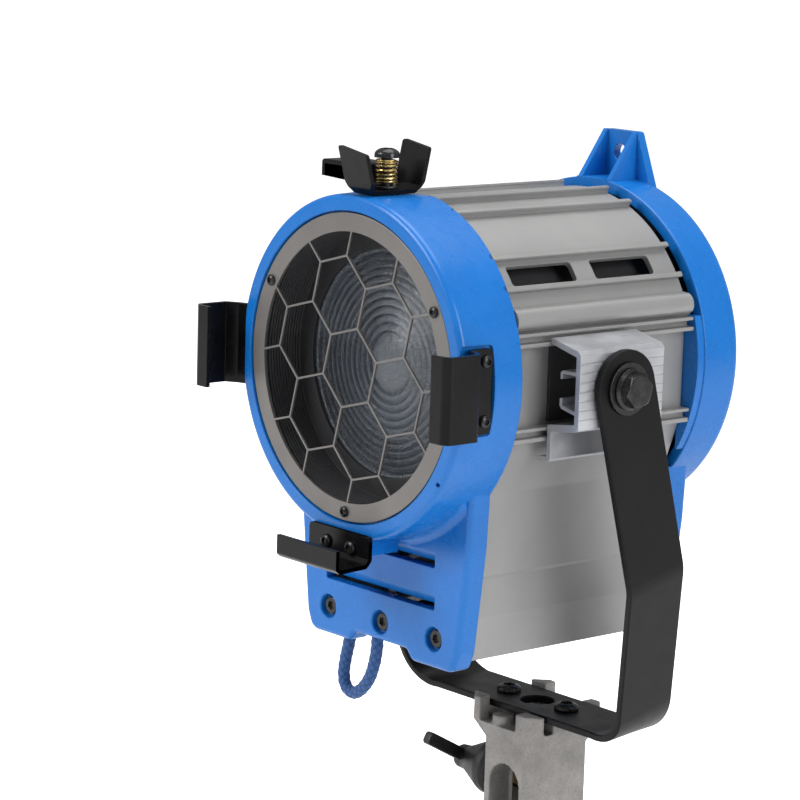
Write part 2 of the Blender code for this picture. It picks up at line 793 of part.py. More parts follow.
def tilt_lever():
    """Hand lever that clamps the far yoke arm; it turns on the fixed stud."""
    profile = ((0.0043, -0.0765), (0.0120, -0.0765), (0.0120, -0.0800), (0.0095, -0.0880), (0.0043, -0.0880))
    hub = turned(profile, "X", (PIVOT_Y, PIVOT_Z), 20)
    blade = prism(
        (
            (PIVOT_Y + 0.0060, PIVOT_Z + 0.0060),
            (PIVOT_Y + 0.0100, PIVOT_Z + 0.0100),
            (PIVOT_Y + 0.0110, PIVOT_Z + 0.0430),
            (PIVOT_Y + 0.0085, PIVOT_Z + 0.0460),
            (PIVOT_Y + 0.0035, PIVOT_Z + 0.0460),
            (PIVOT_Y + 0.0010, PIVOT_Z + 0.0430),
            (PIVOT_Y - 0.0050, PIVOT_Z + 0.0080),
        ),
        "X",
        -0.0870,
        -0.0815,
    )
    return joined(hub, blade)


def pivot_stud():
    return button_screw("X", (PIVOT_Y, PIVOT_Z), -0.0883, 0.0060, 0.0022, 0.0040, -0.0640, 16)


# ================================================================ yoke
def yoke_stations():
    """Centre, width direction and half width of the strip, from the base's middle up to one arm's end."""
    _, kink_z = YOKE_KINK
    lean = math.tan(YOKE_LEAN_IN)
    corner_x = YOKE_ARM_X - (kink_z - YOKE_BASE_Z) * lean
    bend_r = 0.0170
    turn = math.pi / 2 - YOKE_LEAN_IN
    reach = bend_r * math.tan(turn / 2)
    half = YOKE_WIDTH / 2
    stations = [(0.0, YOKE_BASE_Z, 0.0, half), (0.0200, YOKE_BASE_Z, 0.0, half)]
    for step in range(7):
        angle = turn * step / 6
        x = corner_x - reach + bend_r * math.sin(angle)
        z = YOKE_BASE_Z + bend_r * (1 - math.cos(angle))
        stations.append((x, z, step / 6, half))
    for step in range(1, 4):
        z = -0.1170 + (kink_z - 0.0030 + 0.1170) * step / 3
        stations.append((YOKE_ARM_X - (kink_z - z) * lean, z, 1.0, half))
    stations.append((YOKE_ARM_X - 0.0003, kink_z - 0.0008, 1.0, half))
    stations.append((YOKE_ARM_X, kink_z + 0.0022, 1.0, half))
    stations.append((YOKE_ARM_X, PIVOT_Z, 1.0, half))
    for step in range(1, 6):
        angle = math.pi / 2 * step / 6
        rise = half * math.sin(angle) * math.cos(YOKE_RAKE)
        stations.append((YOKE_ARM_X, PIVOT_Z + rise, 1.0, half * math.cos(angle)))
    return stations


def yoke_centre_y(z):
    """The strip's middle runs in two straight rakes from the base up through the pivot."""
    kink_y, kink_z = YOKE_KINK
    if z < kink_z:
        return YOKE_BASE_Y + (kink_y - YOKE_BASE_Y) * (z - YOKE_BASE_Z) / (kink_z - YOKE_BASE_Z)
    return kink_y + (PIVOT_Y - kink_y) * (z - kink_z) / (PIVOT_Z - kink_z)


def yoke():
    """Bent flat bar: a level base and two raked arms."""
    half_stations = yoke_stations()
    stations = [(-x, z, rake, half) for x, z, rake, half in reversed(half_stations[1:])] + half_stations
    centres = [Vector((x, yoke_centre_y(z), z)) for x, z, _, _ in stations]
    bm = bmesh.new()
    rings = []
    for index, (_, _, rake, half) in enumerate(stations):
        before = centres[max(index - 1, 0)]
        after = centres[min(index + 1, len(centres) - 1)]
        along = (after - before).normalized()
        wide = Vector((0.0, math.cos(YOKE_RAKE * rake), math.sin(YOKE_RAKE * rake)))
        thick = along.cross(wide).normalized() * (YOKE_THICK / 2)
        wide = wide * half
        corners = (wide + thick, wide - thick, -wide - thick, -wide + thick)
        rings.append([bm.verts.new(centres[index] + corner) for corner in corners])
    for ring, other in zip(rings, rings[1:]):
        for side in range(4):
            after = (side + 1) % 4
            bm.faces.new((ring[side], ring[after], other[after], other[side]))
    bm.faces.new(rings[0])
    bm.faces.new(rings[-1])
    bmesh.ops.recalc_face_normals(bm, faces=bm.faces)
    return cut(
        bm,
        rod("X", (PIVOT_Y, PIVOT_Z), 0.0043, 0.060, 0.085, 16),
        rod("X", (PIVOT_Y, PIVOT_Z), 0.0043, -0.085, -0.060, 16),
        rod("Z", (0.0, YOKE_BASE_Y), 0.0063, -0.140, -0.125, 20),
        rod("Z", (YOKE_SCREW_X, YOKE_BASE_Y), 0.0025, -0.140, -0.125, 12),
        rod("Z", (-YOKE_SCREW_X, YOKE_BASE_Y), 0.0025, -0.140, -0.125, 12),
    )


# ================================================================ stand socket and its clamp
def chamfered_square(half, chamfer):
    points = []
    for quarter in range(4):
        turn = Matrix.Rotation(math.pi / 2 * quarter, 2)
        points.append(tuple(turn @ Vector((half, -half + chamfer))))
        points.append(tuple(turn @ Vector((half, half - chamfer))))
    return points


def lofted(sections):
    """A body through outlines of equal point count, each at its own height."""
    bm = bmesh.new()
    rings = [[bm.verts.new((x, y, z)) for x, y in outline] for outline, z in sections]
    for ring, other in zip(rings, rings[1:]):
        for index in range(len(ring)):
            after = (index + 1) % len(ring)
            bm.faces.new((ring[index], ring[after], other[after], other[index]))
    bm.faces.new(rings[0])
    bm.faces.new(rings[-1])
    bmesh.ops.recalc_face_normals(bm, faces=bm.faces)
    return bm


def stand_socket():
    """Cast socket: chamfered column with a window, and a crown with four corner teeth around the yoke."""
    teeth_top = SOCKET_PAD_Z + YOKE_THICK + 0.0022
    beside_yoke = YOKE_WIDTH / 2 + 0.0006
    column = chamfered_square(0.0154, 0.0049)
    crown = chamfered_square(0.0192, 0.0058)
    body = lofted(((column, 0.0), (column, 0.0587), (crown, CROWN_FLOOR_Z), (crown, teeth_top)))
    cuts = [
        block((-0.03, 0.03), (-beside_yoke, beside_yoke), (SOCKET_PAD_Z, 0.080)),
        block((-0.0105, 0.0088), (-0.03, 0.03), (SOCKET_PAD_Z, 0.080)),
        block((0.0080, 0.03), (-0.03, 0.03), (SOCKET_PAD_Z + YOKE_THICK, 0.080)),
        block((-0.03, 0.03), (-beside_yoke, -0.0095), (CROWN_FLOOR_Z, 0.080)),
        block((-0.03, 0.03), (0.0095, beside_yoke), (CROWN_FLOOR_Z, 0.080)),
        block((-0.0105, 0.0088), (-0.03, -0.0094), (CROWN_FLOOR_Z, 0.080)),
        block((-0.0105, 0.0088), (0.0094, 0.03), (CROWN_FLOOR_Z, 0.080)),
        rod("Z", (0.0, 0.0), SOCKET_BORE_R, -0.001, 0.0560, 20),
        rod("Z", (0.0, 0.0), 0.0070, 0.0600, 0.080, 20),
        rod("X", (0.0, CLAMP_Z), 0.0040 + GAP, -0.020, -0.005, 12),
    ]
    half = 0.0078
    arch = [(-half, 0.0200)] + arc((0.0, 0.0428), half, 180.0, 0.0, 8) + [(half, 0.0200)]
    cuts.append(prism(arch, "Y", -0.020, -0.005))
    for x in (-YOKE_SCREW_X, YOKE_SCREW_X):
        cuts.append(rod("Z", (x, 0.0), 0.0022, 0.0637, 0.080, 10))
    boss = rod("Z", (-0.0022, -0.0145), 0.0042, CROWN_FLOOR_Z - 0.001, SOCKET_PAD_Z - 0.0006, 12)
    return joined(cut(body, *cuts), boss)


def clamp_screw():
    """T-handle screw that closes the socket on a stand's spigot."""
    shank = rod("X", (0.0, CLAMP_Z), 0.0040, -0.0240, -0.0110, 12)
    profile = (
        (0.0, -0.0178),
        (0.0090, -0.0178),
        (0.0104, -0.0198),
        (0.0104, -0.0230),
        (0.0048, -0.0355),
        (0.0044, -0.0405),
        (0.0, -0.0410),
    )
    hub = turned(profile, "X", (0.0, CLAMP_Z), 20)
    lean = math.radians(29.0)
    half_long = Vector((-math.cos(lean), math.sin(lean))) * 0.0230
    half_wide = Vector((math.sin(lean), math.cos(lean))) * 0.0024
    middle = Vector((0.0, CLAMP_Z))
    corners = (half_long + half_wide, half_long - half_wide, -half_long - half_wide, -half_long + half_wide)
    bar = prism([tuple(middle + corner) for corner in corners], "X", -0.0394, -0.0358)
    return joined(hub, shank, bar)


def clamp_pad():
    """Brass pad that the screw pushes onto the spigot."""
    return rod("X", (0.0, CLAMP_Z), 0.0036, -0.0107, -0.0086, 12)


# ================================================================ inside the head
def inner_shield():
    """Black can behind the shells, open below where the lamp's stem slides."""
    profile = (
        (0.0485, 0.0290),
        (0.0495, 0.0290),
        (0.0495, 0.1190),
        (0.0545, 0.1190),
        (0.0545, 0.1200),
        (0.0, 0.1200),
        (0.0, 0.1190),
        (0.0485, 0.1190),
    )
    return cut(turned(profile, "Y", segments=36), block((-0.0318, 0.0318), (0.028, 0.1185), (-0.056, -0.030)))


def lamp_carriage():
    low = ROD_Z - 0.0050
    plate = block((-0.0260, 0.0260), (LAMP_Y - 0.0110, LAMP_Y + 0.0110), (low, ROD_Z + 0.0050))
    nut = block((-0.0060, 0.0060), (LAMP_Y - 0.0060, LAMP_Y + 0.0060), (SPINDLE_Z - 0.0060, low + 0.001))
    bores = [rod("Y", (x, ROD_Z), ROD_R + GAP, 0.060, 0.100, 12) for x in (-ROD_X, ROD_X)]
    bores.append(rod("Y", (0.0, SPINDLE_Z), ROD_R + GAP, 0.060, 0.100, 12))
    stem = block((-0.0090, 0.0090), (LAMP_Y + 0.0130, LAMP_Y + 0.0145), (ROD_Z + 0.0045, -0.0200))
    foot = block((-0.0090, 0.0090), (LAMP_Y + 0.0060, LAMP_Y + 0.0145), (ROD_Z + 0.0030, ROD_Z + 0.0060))
    return cut(joined(plate, nut, foot, stem), *bores)


def lamp_holder():
    low = ROD_Z + 0.0053
    body = block((-0.0115, 0.0115), (LAMP_Y - 0.0070, LAMP_Y + 0.0055), (low, -0.0470))
    pins = [rod("Z", (x, LAMP_Y), 0.0012, -0.0520, -0.0460, 8) for x in (-0.0045, 0.0045)]
    return cut(body, *pins)


def lamp():
    """Single-ended halogen lamp with two pins."""
    base = block((-0.0080, 0.0080), (LAMP_Y - 0.0045, LAMP_Y + 0.0045), (-0.0467, -0.0300))
    profile = (
        (0.0, -0.0305),
        (0.0060, -0.0305),
        (0.0068, -0.0200),
        (0.0068, 0.0040),
        (0.0048, 0.0090),
        (0.0, 0.0120),
    )
    bulb = turned(profile, "Z", (0.0, LAMP_Y), 16)
    pins = [rod("Z", (x, LAMP_Y), 0.0009, -0.0505, -0.0460, 8) for x in (-0.0045, 0.0045)]
    return joined(base, bulb, *pins)


def reflector():
    """Spherical mirror whose centre of curvature is the filament."""
    outer = arc((0.0, 0.0), 0.0270, 0.0, 58.0, 6)
    inner = arc((0.0, 0.0), 0.0262, 58.0, 0.0, 6)
    profile = [(height, LAMP_Y + along) for along, height in outer]
    profile += [(height, LAMP_Y + along) for along, height in inner]
    profile[0] = (0.0, profile[0][1])
    profile[-1] = (0.0, profile[-1][1])
    dish = turned(profile, "Y", segments=24)
    return cut(dish, block((-0.0100, 0.0100), (LAMP_Y + 0.005, LAMP_Y + 0.040), (-0.040, -0.0180)))


def focus_spindle():
    return rod("Y", (0.0, SPINDLE_Z), ROD_R, 0.0225, 0.1230, 12)


def focus_knob():
    grip = 10
    outline = []
    for tooth in range(grip):
        outline += arc((0.0, SPINDLE_Z), 0.0112, tooth * 36.0 - 11.0, tooth * 36.0 + 11.0, 2)
        outline += arc((0.0, SPINDLE_Z), 0.0103, tooth * 36.0 + 15.0, tooth * 36.0 + 21.0, 1)
    knob = prism(outline, "Y", 0.1212, 0.1360)
    return cut(knob, rod("Y", (0.0, SPINDLE_Z), ROD_R + GAP, 0.1200, 0.1234, 12))


def cable_gland():
    profile = [
        (0.0, 0.1160),
        (0.0040, 0.1160),
        (0.0040, 0.1208),
        (0.0075, 0.1208),
        (0.0075, 0.1250),
        (0.0060, 0.1262),
        (0.0052, 0.1310),
        (0.0030, 0.1310),
        (0.0030, 0.1230),
        (0.0, 0.1230),
    ]
    return turned(profile, "Y", (GLAND_X, GLAND_Z), 16)


# ================================================================ pull loop
def smooth_path(points, spacing):
    """Evenly spaced points on a Catmull-Rom curve through the route."""
    fine = []
    ends = [points[0] * 2 - points[1], *points, points[-1] * 2 - points[-2]]
    for a, b, c, d in zip(ends, ends[1:], ends[2:], ends[3:]):
        for step in range(20):
            t = step / 20
            bend = (2 * a - 5 * b + 4 * c - d) * t**2 + (3 * b - a - 3 * c + d) * t**3
            fine.append(0.5 * (2 * b + (c - a) * t + bend))
    fine.append(points[-1])
    length = sum((b - a).length for a, b in zip(fine, fine[1:]))
    count = round(length / spacing)
    path = [fine[0]]
    run = 0.0
    for a, b in zip(fine, fine[1:]):
        run += (b - a).length
        if run >= length * len(path) / count and len(path) < count:
            path.append(b)
    path.append(fine[-1])
    return path


def pull_loop(material, parent):
    """Braided loop that hangs out of the front casting's foot."""
    route = [Vector((x, ROPE_Y, z)) + HEAD - Vector(parent["place"]) for x, z in ROPE_ROUTE]
    path = smooth_path(route, 0.0036)
    curve = bpy.data.curves.new("pull_loop", "CURVE")
    curve.dimensions = "3D"
    curve.bevel_depth = ROPE_R
    curve.bevel_resolution = 2
    curve.use_fill_caps = True
    spline = curve.splines.new("POLY")
    spline.points.add(len(path) - 1)
    for point, place in zip(spline.points, path):
        point.co = (*place, 1.0)
    curve.materials.append(material)
    loop = bpy.data.objects.new("pull_loop", curve)
    bpy.context.scene.collection.objects.link(loop)
    loop.parent = parent
    return loop


# ================================================================ assembly
def clear_scene():
    for item in list(bpy.data.objects):
        bpy.data.objects.remove(item)


def build():
    clear_scene()
    blue = make_material("blue_enamel", (0.030, 0.190, 0.700), 0.32)
    silver = make_material("satin_aluminium", (0.420, 0.410, 0.390), 0.42, 0.6)
    bright = make_material("bright_aluminium", (0.620, 0.640, 0.680), 0.28, 0.8)
    ring_grey = make_material("ring_steel", (0.300, 0.265, 0.235), 0.45, 0.5)
    black = make_material("black_enamel", (0.012, 0.012, 0.014), 0.38)
    black_steel = make_material("black_steel", (0.020, 0.020, 0.022), 0.28, 0.7)
    steel = make_material("zinc_steel", (0.500, 0.500, 0.510), 0.32, 0.9)
    brass = make_material("spring_brass", (0.560, 0.420, 0.170), 0.25, 0.9)
    cast = make_material("rough_casting", (0.330, 0.320, 0.300), 0.62, 0.5)
    glass = make_material("lens_glass", (0.900, 0.930, 0.950), 0.06, 0.0, 0.9)
    ceramic = make_material("ceramic", (0.800, 0.780, 0.720), 0.55)
    mirror = make_material("reflector_mirror", (0.850, 0.850, 0.860), 0.08, 1.0)
    braid = make_material("blue_braid", (0.020, 0.160, 0.480), 0.70)
    plastic = make_material("black_plastic", (0.018, 0.018, 0.020), 0.50)

    pivot_place = HEAD + Vector((0.0, PIVOT_Y, PIVOT_Z))
    stand = add_pivot("stand", WORLD)
    clamp_axis = add_pivot("clamp_axis", Vector((0.0, 0.0, CLAMP_Z)), stand)
    tilt = add_pivot("tilt_axis", pivot_place, stand)
    lever_axis = add_pivot("tilt_lever_axis", pivot_place + Vector((-0.0800, 0.0, 0.0)), tilt)
    latch_axis = add_pivot("latch_axis", HEAD + Vector((0.0, LATCH_Y, LATCH_SEAT_Z)), tilt)
    focus_axis = add_pivot("focus_axis", HEAD + Vector((0.0, 0.1212, SPINDLE_Z)), tilt)
    carriage_slide = add_pivot("carriage_slide", HEAD + Vector((0.0, LAMP_Y, ROD_Z)), tilt)

    add_part("stand_socket", stand_socket(), cast, stand, WORLD)
    add_part("clamp_screw", clamp_screw(), black, clamp_axis, WORLD)
    add_part("clamp_pad", clamp_pad(), brass, clamp_axis, WORLD)
    add_part("yoke", yoke(), black, stand)
    for side, x in (("left", -YOKE_SCREW_X), ("right", YOKE_SCREW_X)):
        seat = YOKE_BASE_Z + YOKE_THICK / 2 + GAP
        screw = button_screw("Z", (x, YOKE_BASE_Y), seat, 0.0045, 0.0025, 0.0019, seat - 0.0085)
        add_part(f"yoke_screw_{side}", screw, black_steel, stand)

    add_part("front_casting", front_casting(), blue, tilt)
    add_part("rear_casting", rear_casting(), blue, tilt)
    add_part("top_shell", top_shell(), silver, tilt)
    add_part("right_shell", right_shell(), silver, tilt)
    add_part("left_shell", mirrored(right_shell()), silver, tilt)
    add_part("bottom_pan", bottom_pan(), silver, tilt)

    add_part("guard_ring", guard_ring(), ring_grey, tilt)
    for number, angle in enumerate(RING_SCREW_ANGLES, 1):
        place = arc((0.0, 0.0), RING_SCREW_R, angle, angle, 1)[0]
        screw = button_screw("Y", place, -GAP, 0.0019, 0.0011, 0.0009, 0.0040, 10)
        add_part(f"ring_screw_{number}", screw, black_steel, tilt)
    add_part("light_baffle", light_baffle(), black, tilt)
    add_part("fresnel_lens", fresnel_lens(), glass, tilt)
    add_part("lens_retainer", lens_retainer(), steel, tilt)
    add_part("inner_shield", inner_shield(), black, tilt)

    add_part("ear_right", ear(), black, tilt)
    add_part("ear_left", mirrored(ear()), black, tilt)
    for name, z in (("upper", 0.0100), ("lower", -0.0100)):
        seat = 0.0588 + GAP
        screw = button_screw("X", (0.0095, z), seat, 0.0021, 0.0013, 0.0009, 0.0545, 10)
        add_part(f"ear_screw_right_{name}", screw, black_steel, tilt)
        screw = button_screw("X", (0.0095, z), -seat, 0.0021, 0.0013, 0.0009, -0.0545, 10)
        add_part(f"ear_screw_left_{name}", screw, black_steel, tilt)
    add_part("bottom_bracket", bottom_bracket(), black, tilt)
    for side, x in (("left", -0.0065), ("right", 0.0065)):
        seat = -0.0008 - FOLDED_SHEET - GAP
        screw = button_screw("Y", (x, -0.0610), seat, 0.0024, 0.0013, 0.0011, 0.0060, 10)
        add_part(f"bracket_screw_{side}", screw, black_steel, tilt)
    for name, x in (("left", -FOOT_SCREW_X), ("centre", 0.0), ("right", FOOT_SCREW_X)):
        screw = cap_screw("Y", (x, FOOT_SCREW_Z), FOOT_SEAT_Y - GAP, 0.0031, 0.0014, 0.0014, 0.0245)
        add_part(f"foot_screw_{name}", screw, black_steel, tilt)
    for number, (x, z) in enumerate(REAR_SCREWS, 1):
        end = REAR_FACE_Y if z > 0.0 else REAR_BOX_END_Y
        screw = button_screw("Y", (x, z), end + GAP, 0.0032, 0.0018, 0.0014, end - 0.0080, 12)
        add_part(f"rear_screw_{number}", screw, black_steel, tilt)

    add_part("latch_screw", latch_screw(), black_steel, tilt)
    add_part("latch_washer", latch_washer(), black_steel, latch_axis)
    add_part("latch_spring", latch_spring(), brass, latch_axis)
    add_part("top_latch", top_latch(), black, latch_axis)

    add_part("side_bracket_right", side_bracket(), bright, tilt)
    add_part("side_bracket_left", mirrored(side_bracket()), bright, tilt)
    add_part("bracket_liner_right", bracket_liner(), black, tilt)
    add_part("bracket_liner_left", mirrored(bracket_liner()), black, tilt)
    add_part("pivot_bolt_right", pivot_bolt(), black_steel, tilt)
    add_part("pivot_washer_right", pivot_washer(), black_steel, tilt)
    add_part("pivot_washer_left", mirrored(pivot_washer()), black_steel, tilt)
    add_part("pivot_stud_left", pivot_stud(), steel, tilt)
    add_part("tilt_lock_lever", tilt_lever(), plastic, lever_axis)

    for side, x in (("left", -ROD_X), ("right", ROD_X)):
        add_part(f"guide_rod_{side}", rod("Y", (x, ROD_Z), ROD_R, 0.0214, 0.1176, 12), steel, tilt)
    add_part("lamp_carriage", lamp_carriage(), steel, carriage_slide)
    add_part("lamp_holder", lamp_holder(), ceramic, carriage_slide)
    add_part("halogen_lamp", lamp(), glass, carriage_slide)
    add_part("reflector", reflector(), mirror, carriage_slide)
    add_part("focus_spindle", focus_spindle(), steel, focus_axis)
    add_part("focus_knob", focus_knob(), plastic, focus_axis)
    add_part("cable_gland", cable_gland(), plastic, tilt)
    pull_loop(braid, tilt)


build()
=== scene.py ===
"""Looks of the fresnel spotlight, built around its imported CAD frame.

Metres, +Z up. Shapes of the lamp head are drawn in head coordinates, whose origin is the centre of the
guard ring's front face: x is to the right of someone behind the lamp, y runs back and z is up.
"""

import math

import bmesh
import bpy
from mathutils import Matrix, Vector, noise


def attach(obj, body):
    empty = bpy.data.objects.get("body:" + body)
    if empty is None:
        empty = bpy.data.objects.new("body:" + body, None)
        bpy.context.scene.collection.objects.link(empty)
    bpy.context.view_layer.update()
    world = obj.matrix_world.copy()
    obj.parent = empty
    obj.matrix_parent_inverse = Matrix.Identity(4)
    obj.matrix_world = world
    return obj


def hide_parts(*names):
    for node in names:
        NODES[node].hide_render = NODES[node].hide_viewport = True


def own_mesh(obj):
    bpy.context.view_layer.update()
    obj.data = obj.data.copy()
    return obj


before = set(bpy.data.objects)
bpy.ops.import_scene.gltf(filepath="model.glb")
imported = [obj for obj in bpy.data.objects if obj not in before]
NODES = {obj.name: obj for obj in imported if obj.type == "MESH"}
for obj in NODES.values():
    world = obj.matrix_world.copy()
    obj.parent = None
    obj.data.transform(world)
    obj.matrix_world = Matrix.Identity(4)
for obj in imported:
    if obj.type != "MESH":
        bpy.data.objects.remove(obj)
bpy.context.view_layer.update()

# ---------------------------------------------------------------- where things are
LAMP_AXIS_Z = 0.204
RING_FACE_Y = -0.0944
HEAD = Vector((0.0, RING_FACE_Y, LAMP_AXIS_Z))  # centre of the guard ring's front face
WORLD = Vector((0.0, 0.0, 0.0))
PIVOT = (0.0592, -0.001)  # y and z of the tilt axis, from HEAD
SIDES = (("left", -1.0), ("right", 1.0))
AXIS = (0.0, 0.0)  # the lamp's axis, seen along it

# ---------------------------------------------------------------- camera and studio
CAMERA_AT = (0.79644, -0.75713, 0.37773)  # the photograph's viewpoint, from a fit to its edges
CAMERA_RIGHT = Vector((0.64838884, 0.76071923, 0.0299694))
CAMERA_UP = Vector((-0.15240642, 0.09113154, 0.98410738))
CAMERA_LENS = 139.08  # mm, for a sensor 36 mm wide
LIGHT_AIM = (0.0, -0.03, 0.18)
LIGHTS = (  # name, place, width and height, power
    ("key", (-0.55, -1.3, 1.05), (0.8, 0.8), 18.5),
    ("side", (1.35, 0.1, 0.7), (0.6, 1.0), 12.0),
    ("top", (0.0, 0.15, 1.4), (1.0, 1.0), 13.0),
)
BACKDROP_LIGHT = 0.34  # how strongly the backdrop lights the lamp
BACKDROP_SEEN = 1.02  # how bright the camera sees it
FLOOR_GLOW = 0.75

# ---------------------------------------------------------------- housing
SHELL_Y = (0.0253, 0.1079)
SHELL_INNER_R = 0.055
SHELL_R = 0.057
RIB_TIP_R = 0.0595
RIB_FLANK = 0.6  # degrees from a rib's middle to its flank
RIB_LIP = (  # how far below the tip, and the angles from the rib's middle between which
    (0.0009, -RIB_FLANK, -0.9),
    (0.0002, -0.9, -0.75),
    (0.0, -0.7, 0.7),
    (0.0002, 0.75, 0.9),
    (0.0009, 0.9, RIB_FLANK),
)
SIDE_X = 0.0526
TOP_RIBS = (66.8, 78.6, 101.4, 113.2)
SIDE_RIBS = (44.0, 32.1)
WINDOWS_Y = ((0.031, 0.0607), (0.0695, 0.0975))
WINDOW_ANGLES = (34.0, 41.5)

DRUM_R = (0.0592, 0.0602)
DRUM_Y = (-0.0005, 0.025)
DRUM_CAVITY_R = 0.0573
BOX_FACE_Y = 0.0171
BOX_WALL = 0.0025
BOX_OUTLINE = (  # half of the vent box, from the drum's flank down to the foot, with each corner's radius
    (0.0462, -0.037, 0.0),
    (0.0452, -0.058, 0.03),
    (0.0424, -0.082, 0.03),
    (0.0408, -0.095, 0.01),
    (0.0385, -0.1003, 0.003),
    (0.0358, -0.1016, 0.003),
    (0.0168, -0.1016, 0.003),
    (0.0138, -0.098, 0.003),
)
FOOT_SCREWS = (("left", -0.0284), ("centre", 0.0), ("right", 0.0284))
FOOT_SCREW_Z = -0.0913
FOOT_SEAT_Y = 0.0201
REAR_RIM_Y = 0.1114
REAR_FACE_Y = 0.1304
REAR_BOX_Y = (0.1082, 0.1205)
TOWER_TOP_Z = 0.0766
REAR_SCREWS = ((-0.035, -0.07), (0.035, -0.07), (0.0, 0.044))
SPINDLE = (0.0, -0.083)
GLAND = (0.025, -0.085)
SHIELD_BACK_Y = 0.119

# ---------------------------------------------------------------- optics
RING_R = 0.053
RING_INNER_R = 0.0466
RING_THICK = 0.0015
RING_SCREW_R = 0.04985
RING_SCREW_ANGLES = (30.0, 150.0, 270.0)
MESH_SIDE = 0.0145
MESH_WIRE = 0.0007
MESH_THICK = 0.0007
MESH_ANGLE = 15.35
MESH_CORNER = (-0.0101, 0.0102)
LENS_R = 0.0405
LENS_Y = (0.018, 0.0262)
LAMP_Y = 0.08

# ---------------------------------------------------------------- holders, yoke, socket
EAR_HALF = 0.01435
EAR_SCREWS = (("upper", (0.0095, 0.01)), ("lower", (0.0095, -0.01)))
BRACKET_HALF = 0.0161
BRACKET_SCREWS = (("left", (-0.0065, -0.061)), ("right", (0.0065, -0.061)))
SHEET = 0.0015
LATCH_Y = 0.0144
LATCH_SEAT_Z = 0.0588
LATCH_SCREW_SEAT_Z = 0.0713
LATCH_HOLE_R = 0.0024
PIVOT_HOLE_R = 0.0043
YOKE_WIDTH = 0.0262
YOKE_THICK = 0.0026
YOKE_ARM_X = 0.0736
YOKE_KINK = (0.0779, -0.0696)
YOKE_BASE_Y = 0.0944
YOKE_BASE_Z = -0.1328
YOKE_BEND_R = 0.017
YOKE_LEAN_IN = math.radians(17.5)
YOKE_RAKE = math.radians(15.2)
YOKE_SCREW_X = 0.0154
CLAMP = (0.0, 0.0415)  # y and z of the clamp screw's axis, in the scene

# ---------------------------------------------------------------- pull loop
ROPE_R = 0.0023
ROPE_Y = 0.0225
ROPE_HOLES_X = (-0.0216, -0.007)
ROPE_ROUTE = (  # x and z of the loop's middle line, from one hole to the other
    (-0.0214, -0.0935), (-0.0216, -0.099), (-0.0225, -0.104), (-0.0242, -0.1104), (-0.025, -0.116),
    (-0.0236, -0.1204), (-0.0196, -0.122), (-0.0152, -0.1198), (-0.011, -0.115), (-0.0085, -0.1091),
    (-0.0073, -0.1035), (-0.007, -0.0985), (-0.007, -0.0935),
)


# ================================================================ camera, light, floor
def add_camera():
    data = bpy.data.cameras.new("camera")
    data.sensor_width = 36.0
    data.lens = CAMERA_LENS
    data.clip_end = 20.0
    camera = bpy.data.objects.new("camera", data)
    turn = Matrix((CAMERA_RIGHT, CAMERA_UP, CAMERA_RIGHT.cross(CAMERA_UP))).transposed().to_4x4()
    camera.matrix_world = Matrix.Translation(CAMERA_AT) @ turn
    bpy.context.scene.collection.objects.link(camera)
    bpy.context.scene.camera = camera


def add_light(name, place, size, power):
    data = bpy.data.lights.new(name, "AREA")
    data.shape = "RECTANGLE"
    data.size, data.size_y = size
    data.energy = power
    light = bpy.data.objects.new(name, data)
    light.location = place
    light.rotation_euler = (Vector(LIGHT_AIM) - Vector(place)).to_track_quat("-Z", "Y").to_euler()
    bpy.context.scene.collection.objects.link(light)


def seen_by_camera(tree, unseen, seen, socket):
    """A socket with one value for what the camera sees, and another for the light it gives."""
    rays = tree.nodes.new("ShaderNodeLightPath")
    value = tree.nodes.new("ShaderNodeMapRange")
    value.inputs["To Min"].default_value = unseen
    value.inputs["To Max"].default_value = seen
    tree.links.new(rays.outputs["Is Camera Ray"], value.inputs["Value"])
    tree.links.new(value.outputs["Result"], socket)


def add_studio():
    world = bpy.data.worlds.new("studio")
    bpy.context.scene.world = world
    world.use_nodes = True
    background = world.node_tree.nodes["Background"]
    background.inputs["Color"].default_value = (1.0, 1.0, 1.0, 1.0)
    seen_by_camera(world.node_tree, BACKDROP_LIGHT, BACKDROP_SEEN, background.inputs["Strength"])

    bpy.ops.mesh.primitive_plane_add(size=12.0, location=(0.0, 0.0, -0.0005))
    floor = bpy.context.object
    floor.name = "floor"
    pale, tree, shader = new_material("pale_floor")
    shader.inputs["Base Color"].default_value = (0.95, 0.95, 0.95, 1.0)
    shader.inputs["Roughness"].default_value = 0.8
    shader.inputs["Specular IOR Level"].default_value = 0.1
    shader.inputs["Emission Color"].default_value = (1.0, 1.0, 1.0, 1.0)
    seen_by_camera(tree, 0.0, FLOOR_GLOW, shader.inputs["Emission Strength"])
    floor.data.materials.append(pale)
    for row in LIGHTS:
        add_light(*row)


# ================================================================ materials
def new_material(name):
    material = bpy.data.materials.new(name)
    material.use_nodes = True
    return material, material.node_tree, material.node_tree.nodes["Principled BSDF"]


def noise_node(tree, coords, scale, detail=3.0, stretch=(1.0, 1.0, 1.0)):
    """Noise over the object's own coordinates, stretched along an axis for a grain."""
    mapping = tree.nodes.new("ShaderNodeMapping")
    mapping.inputs["Scale"].default_value = stretch
    texture = tree.nodes.new("ShaderNodeTexNoise")
    texture.inputs["Scale"].default_value = scale
    texture.inputs["Detail"].default_value = detail
    tree.links.new(coords.outputs["Object"], mapping.inputs["Vector"])
    tree.links.new(mapping.outputs["Vector"], texture.inputs["Vector"])
    return texture.outputs["Fac"]


def spread(tree, value, low, high, start=0.3, end=0.7):
    """A noise value spread over a range."""
    node = tree.nodes.new("ShaderNodeMapRange")
    node.inputs["From Min"].default_value = start
    node.inputs["From Max"].default_value = end
    node.inputs["To Min"].default_value = low
    node.inputs["To Max"].default_value = high
    tree.links.new(value, node.inputs["Value"])
    return node.outputs["Result"]


